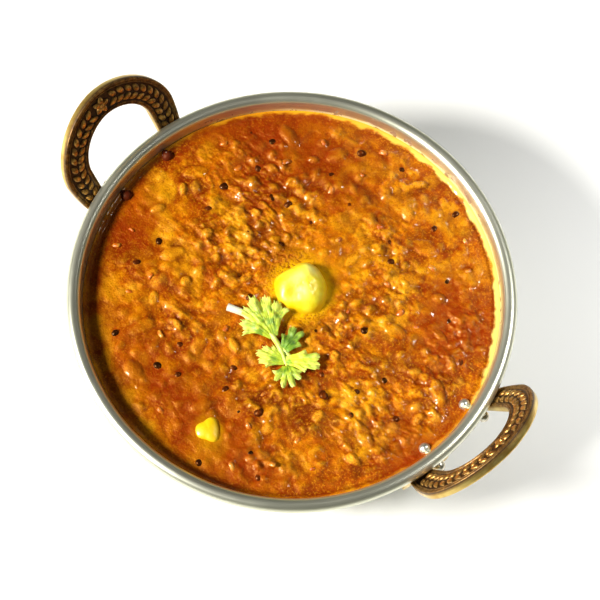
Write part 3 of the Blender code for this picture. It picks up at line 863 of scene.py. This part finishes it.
def stem_line():
    return [(*stem_point(index / STEM_STEPS), 0.1 + STEM_RISE * (1.0 - index / STEM_STEPS))
            for index in range(STEM_STEPS + 1)]


def side_stem_line():
    x, y = stem_point(SIDE_SHARE)
    out, aside = polar(SIDE_LENGTH, SIDE_HEADING)
    return [(x + out * share, y + aside * share, SIDE_RISE * share) for share in (0.0, 0.5, 1.0)]


LOBE_HALF = 10.0
LOBE_DEPTH = 0.26
TOOTH_DEGREES = 6.4
TOOTH_DEPTH = 0.11


def leaf_lobes(heading, length, half_spread, count):
    """A leaf's lobes as heading and length: evenly spread, and shorter to either side."""
    lobes = []
    for index in range(count):
        off = 2.0 * index / (count - 1) - 1.0
        shorter = 1.0 - LOBE_SHORTENING * abs(off) ** 1.5
        lobes.append((heading + off * half_spread, length * shorter))
    return lobes


def leaf_reach(heading, lobes):
    """Length of a leaf one way: out along each lobe, back in between them, toothed all round."""
    reach = 0.0
    for lobe_heading, length in lobes:
        off = min(abs(heading - lobe_heading) / LOBE_HALF, 1.0)
        reach = max(reach, length * (1.0 - LOBE_DEPTH * off ** 6 - 0.08 * off * off))
    tooth = abs((heading / TOOTH_DEGREES + 0.35 * math.sin(heading)) % 1.0 - 0.5) * 2.0
    return reach * (1.0 - TOOTH_DEPTH * tooth ** 1.5)


def make_leaf(name, leaf):
    """A lobed, veined leaf from a grid: fanned out from its base, creased and ruffled."""
    share, direction, length, half_spread, count, height, lift, age = leaf
    base_x, base_y = stem_point(share)
    lobes = leaf_lobes(direction, length, half_spread, count)
    first, last = lobes[0][0] - 7.0, lobes[-1][0] + 7.0
    columns, rows = 26 * count, 18
    blade = begin(name, bpy.ops.mesh.primitive_grid_add, x_subdivisions=columns,
                  y_subdivisions=rows, size=2.0)
    points = points_of(blade)
    vein, rim = np.zeros(len(points)), np.zeros(len(points))
    middle = math.radians((first + last) / 2.0)
    for index, (x, y, _) in enumerate(points.copy()):
        across, out = -x, (y + 1.0) / 2.0
        heading = first + (last - first) * (across + 1.0) / 2.0
        angle = middle + (math.radians(heading) - middle) * (0.6 + 0.4 * out)
        full = leaf_reach(heading, lobes)
        reach = 0.2 + (full - 0.2) * out
        side = 1.7 * across * (1.0 - out)
        off = min(abs(heading - lobe[0]) for lobe in lobes)
        crease = math.exp(-(off / 1.5) ** 2)
        branch = 0.5 + 0.5 * math.cos(FULL_TURN * (out * 5.5 - off * 0.16))
        ruffle = math.sin(math.radians(heading) * 11.0 + 2.0 * out + base_x) * out * out
        fold = math.cos(math.pi * min(off / LOBE_HALF, 1.0))
        crown = math.sin(math.pi * out * 0.8) * (1.0 - 0.35 * across * across)
        points[index] = (
            base_x + reach * math.cos(angle) - side * math.sin(middle),
            base_y + reach * math.sin(angle) + side * math.cos(middle),
            DAL_LEVEL + SPRIG_LIFT + height + lift * crown + 0.16 * fold * out
            - 0.12 * crease * (1.0 - 0.4 * out) + 0.30 * ruffle)
        vein[index] = max(crease, 0.55 * branch ** 6 * (1.0 - out * 0.3) * min(off / 3.0, 1.0))
        rim[index] = max(0.0, out * 1.25 - 0.25) ** 2
    crumple = noise_field(points[:, 0], points[:, 1], 3.6, base_x, 2)
    outward = np.clip(np.hypot(points[:, 0] - base_x, points[:, 1] - base_y) / 7.0, 0.1, 1.0)
    points[:, 2] += 1.1 * crumple * outward
    points[:, 0] += 0.5 * noise_field(points[:, 1], points[:, 0], 2.6, base_y, 2) * outward
    set_points(blade, points)
    set_masks(blade, vein=vein, rim=rim, age=age)
    take(blade)
    skin = blade.modifiers.new("leaf_thickness", "SOLIDIFY")
    skin.thickness = 0.24
    skin.offset = 0.0
    bpy.ops.object.modifier_apply(modifier=skin.name)
    return blade


def make_stem(name, line, thick, thin):
    """A ridged stalk that thins along its length."""
    stalk = begin(name, bpy.ops.mesh.primitive_cylinder_add, vertices=14, radius=1.0, depth=2.0,
                  end_fill_type="TRIFAN")
    edit(stalk, "SELECT")
    for step in range(1, 28):
        bpy.ops.mesh.select_all(action="SELECT")
        bpy.ops.mesh.bisect(plane_co=(0, 0, -1.0 + step / 14.0), plane_no=(0, 0, 1))
    done_editing()
    line = np.array(line, float)
    smooth_line = [line[0]]
    for before, after in zip(line[:-1], line[1:]):
        smooth_line += [before + (after - before) * share for share in (0.25, 0.5, 0.75, 1.0)]
    smooth_line = np.array(smooth_line)
    for _ in range(3):
        smooth_line[1:-1] = (smooth_line[:-2] + 2 * smooth_line[1:-1] + smooth_line[2:]) / 4
    length = run_of(smooth_line)[-1]
    shape = []
    for x, y, z in points_of(stalk):
        share = (z + 1.0) / 2.0
        here, way = walk(smooth_line, share * length, 0.6)
        way /= np.linalg.norm(way)
        side = np.cross(way, (0, 0, 1.0))
        side /= np.linalg.norm(side)
        over = np.cross(side, way)
        radius = thin + (thick - thin) * (1.0 - share) ** 2.2
        radius *= 1.0 - 0.55 * max(0.0, (share - 0.75) / 0.25) ** 2
        radius *= 1.0 + 0.10 * math.cos(5.0 * math.atan2(y, x))
        spot = here + radius * (side * x + over * y)
        spot[2] += DAL_LEVEL + SPRIG_LIFT
        shape.append(spot)
    set_points(stalk, shape)
    close_up(stalk, 0.002)
    return stalk


# ---- materials ----
def paint(code):
    """A colour given as six hex digits, ready for a shader."""
    parts = [int(code[index:index + 2], 16) / 255 for index in (0, 2, 4)]
    linear = [part / 12.92 if part <= 0.04045 else ((part + 0.055) / 1.055) ** 2.4
              for part in parts]
    return (*linear, 1.0)


class Mixer:
    """Puts nodes into one node tree and wires them up."""

    def __init__(self, tree):
        self.tree = tree

    def wire(self, socket, value):
        """Link a socket to another, or set it: a colour is given as its six digits."""
        if isinstance(value, bpy.types.NodeSocket):
            self.tree.links.new(value, socket)
        else:
            socket.default_value = paint(value) if isinstance(value, str) else value

    def add(self, kind, inputs=(), **settings):
        node = self.tree.nodes.new(kind)
        for name, value in settings.items():
            setattr(node, name, value)
        for key, value in dict(inputs).items():
            self.wire(node.inputs[key], value)
        return node

    def dress(self, **sockets):
        """Wire or set the shader's own sockets."""
        shader = self.tree.nodes["Principled BSDF"]
        for name, value in sockets.items():
            self.wire(shader.inputs[name.replace("_", " ")], value)

    def place(self):
        return self.add("ShaderNodeTexCoord").outputs["Object"]

    def axes(self):
        return self.add("ShaderNodeSeparateXYZ", {0: self.place()}).outputs

    def mask(self, name):
        return self.add("ShaderNodeAttribute", attribute_name=name).outputs["Fac"]

    def sum(self, first, second, operation="ADD"):
        return self.add("ShaderNodeMath", {0: first, 1: second}, operation=operation).outputs[0]

    def times(self, first, second):
        return self.sum(first, second, "MULTIPLY")

    def reach(self, x, y):
        """Distance from the bowl's middle line."""
        return self.sum(self.sum(self.times(x, x), self.times(y, y)), 0.5, "POWER")

    def mix(self, share, first, second):
        return self.add("ShaderNodeMix", {0: share, 6: first, 7: second},
                        data_type="RGBA").outputs[2]

    def blend(self, share, first, second):
        return self.add("ShaderNodeMix", {0: share, 2: first, 3: second},
                        data_type="FLOAT").outputs[0]

    def layers(self, colour, *layers):
        """Lay paints on a colour in turn: where (a value or a mask's name), how much, which."""
        for where, strength, code in layers:
            where = self.mask(where) if isinstance(where, str) else where
            colour = self.mix(self.times(where, strength), colour, code)
        return colour

    def noise(self, scale, detail=3.0, rough=0.55, place=None):
        return self.add("ShaderNodeTexNoise", {
            "Vector": self.place() if place is None else place, "Scale": scale, "Detail": detail,
            "Roughness": rough}).outputs["Fac"]

    def span(self, value, low, high, to_low=0.0, to_high=1.0):
        node = self.add("ShaderNodeMapRange", {0: value, 1: low, 2: high, 3: to_low, 4: to_high})
        return node.outputs[0]

    def bump(self, height, strength, distance):
        return self.add("ShaderNodeBump", {"Strength": strength, "Distance": distance,
                                           "Height": height}).outputs[0]

    def use(self, group, **inputs):
        return self.add("ShaderNodeGroup", {name.title(): value for name, value in inputs.items()},
                        node_tree=group).outputs

    def mottle(self, first, second, size, **limits):
        return self.use(MOTTLE, first=first, second=second, size=size, **limits)["Color"]


def new_group(name, inputs, outputs):
    """A node group: inputs are numbers, or colours where None stands for the number."""
    group = bpy.data.node_groups.new(name, "ShaderNodeTree")
    for label, value in inputs.items():
        kind = "NodeSocketColor" if value is None else "NodeSocketFloat"
        socket = group.interface.new_socket(label, in_out="INPUT", socket_type=kind)
        if value is not None:
            socket.default_value = value
    for label in outputs:
        kind = "NodeSocketColor" if label == "Color" else "NodeSocketFloat"
        group.interface.new_socket(label, in_out="OUTPUT", socket_type=kind)
    return (group, Mixer(group), group.nodes.new("NodeGroupInput").outputs,
            group.nodes.new("NodeGroupOutput").inputs)


def group_wet_film():
    """Oil lying unevenly on food: where it is thick, and how it stands up."""
    group, mixer, given, result = new_group("wet_film", {"Size": 300.0, "Spread": 0.5},
                                            ("Film", "Height"))
    broad = mixer.noise(given["Size"], 3.0, 0.6)
    fine = mixer.noise(mixer.times(given["Size"], 4.0), 2.0, 0.5)
    edge = mixer.sum(0.62, mixer.times(given["Spread"], 0.3), "SUBTRACT")
    mixer.wire(result["Film"], mixer.span(broad, edge, 0.7))
    mixer.wire(result["Height"], mixer.blend(0.3, broad, fine))
    return group


def group_mottle():
    """Uneven natural colour: a first colour that turns into a second in soft patches."""
    group, mixer, given, result = new_group(
        "mottle", {"First": None, "Second": None, "Size": 200.0, "Low": 0.4, "High": 0.65},
        ("Color",))
    share = mixer.span(mixer.noise(given["Size"], 4.0, 0.6), given["Low"], given["High"])
    mixer.wire(result["Color"], mixer.mix(share, given["First"], given["Second"]))
    return group


def group_turned_marks():
    """Fine lines that run round turned or spun metal, with a few deeper scratches."""
    group, mixer, given, result = new_group("turned_marks", {"Fineness": 1600.0},
                                            ("Lines", "Scratches"))
    x, y, z = mixer.axes()
    run = mixer.times(mixer.sum(mixer.reach(x, y), z), given["Fineness"])
    round_bowl = mixer.add("ShaderNodeCombineXYZ", {
        0: mixer.times(x, 18.0), 1: mixer.times(y, 18.0), 2: run}).outputs[0]
    mixer.wire(result["Lines"], mixer.noise(1.0, 2.0, 0.6, round_bowl))
    scratches = mixer.noise(0.35, 4.0, 0.8, round_bowl)
    mixer.wire(result["Scratches"], mixer.span(scratches, 0.58, 0.68))
    return group


def new_material(name):
    material = bpy.data.materials.new(name)
    material.use_nodes = True
    return material, Mixer(material.node_tree)


WET_FILM = group_wet_film()
MOTTLE = group_mottle()
TURNED_MARKS = group_turned_marks()


def steel_material():
    material, mixer = new_material("brushed_steel")
    x, y, z = mixer.axes()
    marks = mixer.use(TURNED_MARKS, fineness=1500.0)
    grease = mixer.use(WET_FILM, size=55.0, spread=0.4)
    # inside the wall: a pale yellow film where the ghee stands, laid only on the wall that faces
    # the lamp, partly ghee and partly painted highlight; and splashes of dried gravy all round
    inside = mixer.times(mixer.span(z, 0.0548, 0.0540), mixer.span(z, 0.0485, 0.0490))
    inside = mixer.times(inside, mixer.span(mixer.reach(x, y), 0.08475, 0.08455))
    uneven = mixer.times(mixer.noise(95.0, 4.0, 0.65), 0.0034)
    low = mixer.span(mixer.sum(z, uneven), 0.0544, 0.0532)
    off_ghee = mixer.sum(mixer.times(x, -0.77), mixer.times(y, -0.64))
    film = mixer.times(mixer.times(inside, low), mixer.span(off_ghee, 0.02, -0.03))
    spots = mixer.times(mixer.times(inside, mixer.span(mixer.noise(210.0, 3.0, 0.6), 0.58, 0.62)),
                        0.8)
    cover = mixer.sum(film, spots, "MAXIMUM")
    rough = mixer.blend(marks["Lines"], 0.28, 0.40)
    mixer.dress(
        Base_Color=mixer.layers(mixer.mix(marks["Lines"], "c3c6ac", "eceada"),
                                (marks["Scratches"], 0.25, "8c8a7a"),
                                # the pale film is partly ghee and partly painted highlight
                                (film, 1.0, "f6e7a0"), (spots, 1.0, "8a5426")),
        Roughness=mixer.sum(rough, mixer.times(grease["Film"], 0.05)),
        Metallic=mixer.span(cover, 0.0, 0.8, 0.88, 0.0),
        Normal=mixer.bump(marks["Lines"], 0.10, 0.0002))
    return material


def rivet_material():
    material, mixer = new_material("rivet_metal")
    # the far pair, inside and outside the bowl, get a dark coat of gravy: partly dried gravy,
    # partly painted shade for the shadow they lie in
    gaps = mixer.span(mixer.noise(500.0, 3.0), 0.80, 0.68)
    coated = mixer.times(mixer.span(mixer.axes()[0], 0.0, -0.05), gaps)
    dents = mixer.noise(700.0, 2.0)
    mixer.dress(
        Base_Color=mixer.mix(coated, mixer.mottle("e2e0d4", "bdbcae", 900.0), "5c1802"),
        Metallic=mixer.span(coated, 0.0, 0.7, 0.9, 0.0), Specular_Tint="ffd6a4",
        Roughness=mixer.sum(mixer.span(dents, 0.3, 0.7, 0.32, 0.44), mixer.times(coated, 0.2)),
        Normal=mixer.bump(dents, 0.25, 0.0003))
    return material


def brass_material():
    material, mixer = new_material("aged_brass")
    face = mixer.mask("face")
    worn = mixer.span(mixer.noise(520.0, 4.0, 0.65), 0.36, 0.60, 0.25, 1.0)
    shine = mixer.blend(face, 0.95, mixer.times(mixer.mask("polish"), worn))
    gold = mixer.mix(mixer.times(face, 0.75), mixer.mottle("e3c878", "cba24e", 160.0),
                     mixer.mottle("eeb45e", "b4722c", 900.0))
    mixer.dress(
        Base_Color=mixer.mix(shine, mixer.mottle("1c0a03", "3a1a09", 700.0), gold),
        Metallic=mixer.span(shine, 0.0, 0.6, 0.4, 0.85), Roughness=mixer.blend(shine, 0.5, 0.30),
        Normal=mixer.bump(mixer.noise(1500.0, 3.0), 0.18, 0.0002))
    return material


def dal_material():
    material, mixer = new_material("dal_gravy")
    broad = mixer.noise(38.0, 3.0, 0.6)
    middle = mixer.noise(150.0, 4.0, 0.62)
    grain = mixer.noise(1150.0, 3.0, 0.6)
    dust = mixer.noise(2300.0, 2.0, 0.6)
    film = mixer.use(WET_FILM, size=420.0, spread=0.5)
    clotted = mixer.span(middle, 0.35, 0.6, 0.35, 1.0)
    froth = mixer.times(mixer.mask("froth"), mixer.span(mixer.noise(820.0, 2.0, 0.7), 0.52, 0.38))
    ghee = mixer.mask("ghee")
    oil = mixer.mix(mixer.span(broad, 0.4, 0.6), "e89c12", "f2b21c")
    colour = mixer.layers(
        mixer.mix(mixer.span(broad, 0.41, 0.59), "932f00", "c46000"),
        (mixer.span(middle, 0.47, 0.68, 0.0, 0.8), 1.0, "dc8800"),
        (mixer.span(middle, 0.46, 0.31, 0.0, 0.9), 1.0, "6a1e00"),
        (mixer.times(mixer.mask("gold"), clotted), 0.75, "e29c0c"),
        (mixer.times(mixer.mask("umber"), clotted), 0.7, "641c00"),
        # painted highlight in gold on the crests, painted shade in dark red-brown in the hollows
        ("bean", 0.55, "b03c00"), ("crest", 0.55, "eaa514"), ("hollow", 0.9, "6a1d00"),
        ("pale", 0.6, "e8a83c"), ("skin", 0.8, "3c1002"),
        ("split", mixer.span(grain, 0.40, 0.58, 0.1, 0.75), "ee9c24"),
        (mixer.span(grain, 0.53, 0.68), 0.45, "f2a418"),
        (mixer.span(grain, 0.46, 0.32), 0.5, "7c2600"),
        (mixer.span(dust, 0.46, 0.34), 0.35, "8a2c00"),
        ("halo", 0.6, "e08a00"), ("red", 0.75, "8a2400"),
        ("melt", mixer.span(middle, 0.25, 0.55, 0.6, 1.0), "f2c200"), (froth, 0.9, "8a2a00"),
        # the ghee, painted pale toward the far side as a painted highlight
        (ghee, 1.0, mixer.mix(mixer.mask("cream"), oil, "f8da70")))
    relief = mixer.blend(0.4, film["Height"], mixer.blend(0.3, grain, dust))
    relief = mixer.sum(relief, mixer.times(froth, 0.6), "SUBTRACT")
    mixer.dress(
        Base_Color=colour, Roughness=mixer.blend(film["Film"], 0.42, 0.28),
        Specular_IOR_Level=0.8, Specular_Tint="ffc45a", Coat_Roughness=0.13,
        Coat_Weight=mixer.span(film["Film"], 0.1, 0.9),
        Normal=mixer.bump(mixer.blend(ghee, relief, 0.5), 0.6, 0.0009))
    return material


def lentil_material():
    material, mixer = new_material("black_lentil_skin")
    film = mixer.use(WET_FILM, size=600.0, spread=0.5)
    smear = mixer.span(mixer.noise(420.0, 3.0, 0.6), 0.56, 0.68, 0.0, 0.7)
    skin = mixer.mix(mixer.span(mixer.mask("tone"), 0.1, 0.9), "1c0a03", "4c1c06")
    mixer.dress(
        Base_Color=mixer.mix(smear, skin, "8a3a04"), Specular_Tint="ffb060",
        Roughness=mixer.blend(film["Film"], 0.35, 0.22), Coat_Roughness=0.12,
        Coat_Weight=mixer.span(film["Film"], 0.3, 1.0, 0.0, 0.6),
        Normal=mixer.bump(film["Height"], 0.25, 0.0004))
    return material


def split_material():
    material, mixer = new_material("split_lentil")
    film = mixer.use(WET_FILM, size=700.0, spread=0.5)
    smear = mixer.span(mixer.noise(420.0, 3.0, 0.6), 0.42, 0.56, 0.0, 0.9)
    mixer.dress(
        Base_Color=mixer.mix(smear, mixer.mix(mixer.mask("tone"), "e8a436", "c4640a"), "bd5804"),
        Roughness=mixer.blend(film["Film"], 0.4, 0.18), Coat_Roughness=0.07,
        Coat_Weight=mixer.span(film["Film"], 0.0, 1.0, 0.4, 1.0),
        Normal=mixer.bump(film["Height"], 0.3, 0.0004))
    return material


def butter_material():
    material, mixer = new_material("melting_butter")
    film = mixer.use(WET_FILM, size=260.0, spread=0.6)
    mixer.dress(
        Base_Color=mixer.layers(mixer.mottle("f8de04", "fcee38", 190.0, low=0.4, high=0.62),
                                ("foot", 0.9, "f2bc00"), ("dent", 0.8, "f2b008"),
                                # whitish painted highlight on the butter
                                ("glow", 0.6, "fffca8")),
        Roughness=mixer.blend(film["Film"], 0.42, 0.3), Coat_Roughness=0.25,
        Coat_Weight=mixer.span(film["Film"], 0.0, 1.0, 0.3, 0.6),
        Subsurface_Weight=0.15, Subsurface_Radius=(1.0, 0.75, 0.2), Subsurface_Scale=0.002,
        Normal=mixer.bump(film["Height"], 0.2, 0.0006))
    return material


def herb_material(name, colour_of, fineness, roughest, relief):
    """Coriander: its colour, and a skin of fine grain that lets a little light in."""
    material, mixer = new_material(name)
    fine = mixer.noise(fineness, 3.0, 0.6)
    mixer.dress(
        Base_Color=colour_of(mixer), Roughness=mixer.span(fine, 0.3, 0.7, *roughest),
        Subsurface_Weight=0.1, Subsurface_Scale=0.001, Normal=mixer.bump(fine, relief, 0.0003))
    return material


def leaf_colour(mixer):
    age = mixer.mask("age")
    fresh = mixer.span(age, 0.3, 1.0, 1.0, 0.3)
    green = mixer.mix(age, mixer.mottle("86b80c", "e4f02c", 300.0, low=0.38, high=0.54),
                      mixer.mottle("35680a", "78ac14", 300.0, low=0.38, high=0.62))
    return mixer.layers(green, (mixer.times(mixer.mask("vein"), fresh), 0.4, "f2f490"),
                        (mixer.times(mixer.mask("rim"), fresh), 0.55, "f6f880"))


def stalk_colour(mixer):
    cut_end = mixer.span(mixer.axes()[0], -0.006, -0.013)
    return mixer.mix(cut_end, mixer.mottle("cfe04c", "ebf184", 420.0), "f4f3dc")


# ---- camera, lights and floor ----
LENS = 105.6
EYE = Vector((0.1552, -0.2058, 0.6508))     # metres, from the middle of the rim
AIM = Vector((0.0048, -0.0011, 0.0))        # likewise
ROLL = math.radians(5.66)


def set_stage():
    floor = begin("table_top", bpy.ops.mesh.primitive_plane_add, size=4.0,
                  location=(0.0, 0.0, -0.0004))
    pale, mixer = new_material("pale_floor")
    mixer.dress(Base_Color=mixer.mix(mixer.noise(3.0), "fafaf7", "fdfdfb"), Roughness=0.75)
    floor.data.materials.append(pale)

    world = bpy.data.worlds.new("studio")
    world.use_nodes = True
    room = Mixer(world.node_tree)
    height = room.add("ShaderNodeSeparateXYZ", {
        0: room.add("ShaderNodeTexCoord").outputs["Generated"]}).outputs[2]
    walls = room.mix(room.span(height, 0.10, 0.45), "989b84", "201f1c")
    room.wire(world.node_tree.nodes["Background"].inputs["Color"], walls)
    bpy.context.scene.world = world

    def lamp(name, kind, place, aim, power, **settings):
        data = bpy.data.lights.new(name, kind)
        data.energy = power
        for key, value in settings.items():
            setattr(data, key, value)
        item = bpy.data.objects.new(name, data)
        bpy.context.scene.collection.objects.link(item)
        item.location = place
        item.rotation_euler = (Vector(aim) - item.location).to_track_quat("-Z", "Y").to_euler()

    lamp("window", "AREA", Vector((-0.562, -0.850, 0.852)), (0.0, 0.0, 0.05), 33.0,
         shape="DISK", size=0.36, color=(1.0, 0.98, 0.93))
    lamp("floor_fill", "SPOT", Vector((0.36, 0.44, 0.75)), (0.155, 0.15, 0.0), 34.0,
         spot_size=math.radians(33), spot_blend=1.0, shadow_soft_size=0.12)

    camera = bpy.data.cameras.new("camera")
    camera.sensor_width = 36.0
    camera.lens = LENS
    camera.clip_start = 0.05
    item = bpy.data.objects.new("camera", camera)
    bpy.context.scene.collection.objects.link(item)
    rim_middle = Vector((0.0, 0.0, RIM_HEIGHT * MM))
    item.location = rim_middle + EYE
    look = (rim_middle + AIM - item.location).to_track_quat("-Z", "Y").to_matrix()
    item.rotation_euler = (look @ Matrix.Rotation(ROLL, 3, "Z")).to_euler()
    bpy.context.scene.camera = item
    bpy.context.scene.view_settings.view_transform = "Standard"
    bpy.context.scene.view_settings.look = "None"


# ---- everything in its place ----
set_stage()

steel = steel_material()
finish_piece(make_bowl(), steel, ["bowl"])

rivets = rivet_material()
rivet_angles = (-RIVET_ANGLE, RIVET_ANGLE, math.pi - RIVET_ANGLE, math.pi + RIVET_ANGLE)
for number, angle in enumerate(rivet_angles, 1):
    finish_piece(make_rivet(f"kadhai_rivet_{number}", angle), rivets,
                 [f"rivet_{number}"], 50.0)

brass = brass_material()
finish_piece(make_handle("brass_handle_right", 1), brass, ["handle_right"], 50.0)
finish_piece(make_handle("brass_handle_left", -1), brass, ["handle_left"], 50.0)

gravy = dal_material()
finish_piece(make_dal(), gravy, ["dal"], 60.0)

draw_reach = wall_radius(DAL_EDGE_LEVEL, DAL_CLEAR) - 6.0
free_spots = [place for place in scatter(190, draw_reach, LENTILS_APART, 31, BEAN_PLACES)
              if float(calm(np.array([place[0]]), np.array([place[1]]))[0]) > 0.9]
finish_piece(strew("black_lentils", make_lentil(), free_spots[:BLACK_COUNT], 42,
                   (-1.3, -0.6), (0.86, 1.12), 0.5), lentil_material(), degrees=70)
split_spots = free_spots[BLACK_COUNT:BLACK_COUNT + SPLIT_COUNT]
finish_piece(strew("split_lentils", make_split(), split_spots, 43,
                   (-0.5, 0.0), (0.8, 1.35), 0.5), split_material(), degrees=70)

butter = butter_material()
finish_piece(make_butter("butter_pat", BUTTER_PLACE, BUTTER_RADIUS, BUTTER_HEIGHT, 0.35, 96, 64),
             butter, ["butter"], 70)
finish_piece(make_butter("butter_flake", SMALL_BUTTER_PLACE, SMALL_BUTTER_RADIUS,
                         SMALL_BUTTER_HEIGHT, 0.0, 56, 30, 0.9),
             butter, ["butter_bit"], 70)

leaf = herb_material("coriander_leaf", leaf_colour, 1400.0, (0.38, 0.55), 0.25)
blades = [make_leaf(f"blade_{number}", shape) for number, shape in enumerate(LEAVES, 1)]
finish_piece(join("coriander_leaves", blades), leaf, ["coriander"], 70)
stalks = [make_stem("stalk", stem_line(), 1.5, 1.0),
          make_stem("side_stalk", side_stem_line(), 0.95, 0.7)]
stalk = herb_material("coriander_stalk", stalk_colour, 900.0, (0.34, 0.5), 0.2)
finish_piece(join("coriander_stalks", stalks), stalk, degrees=70)
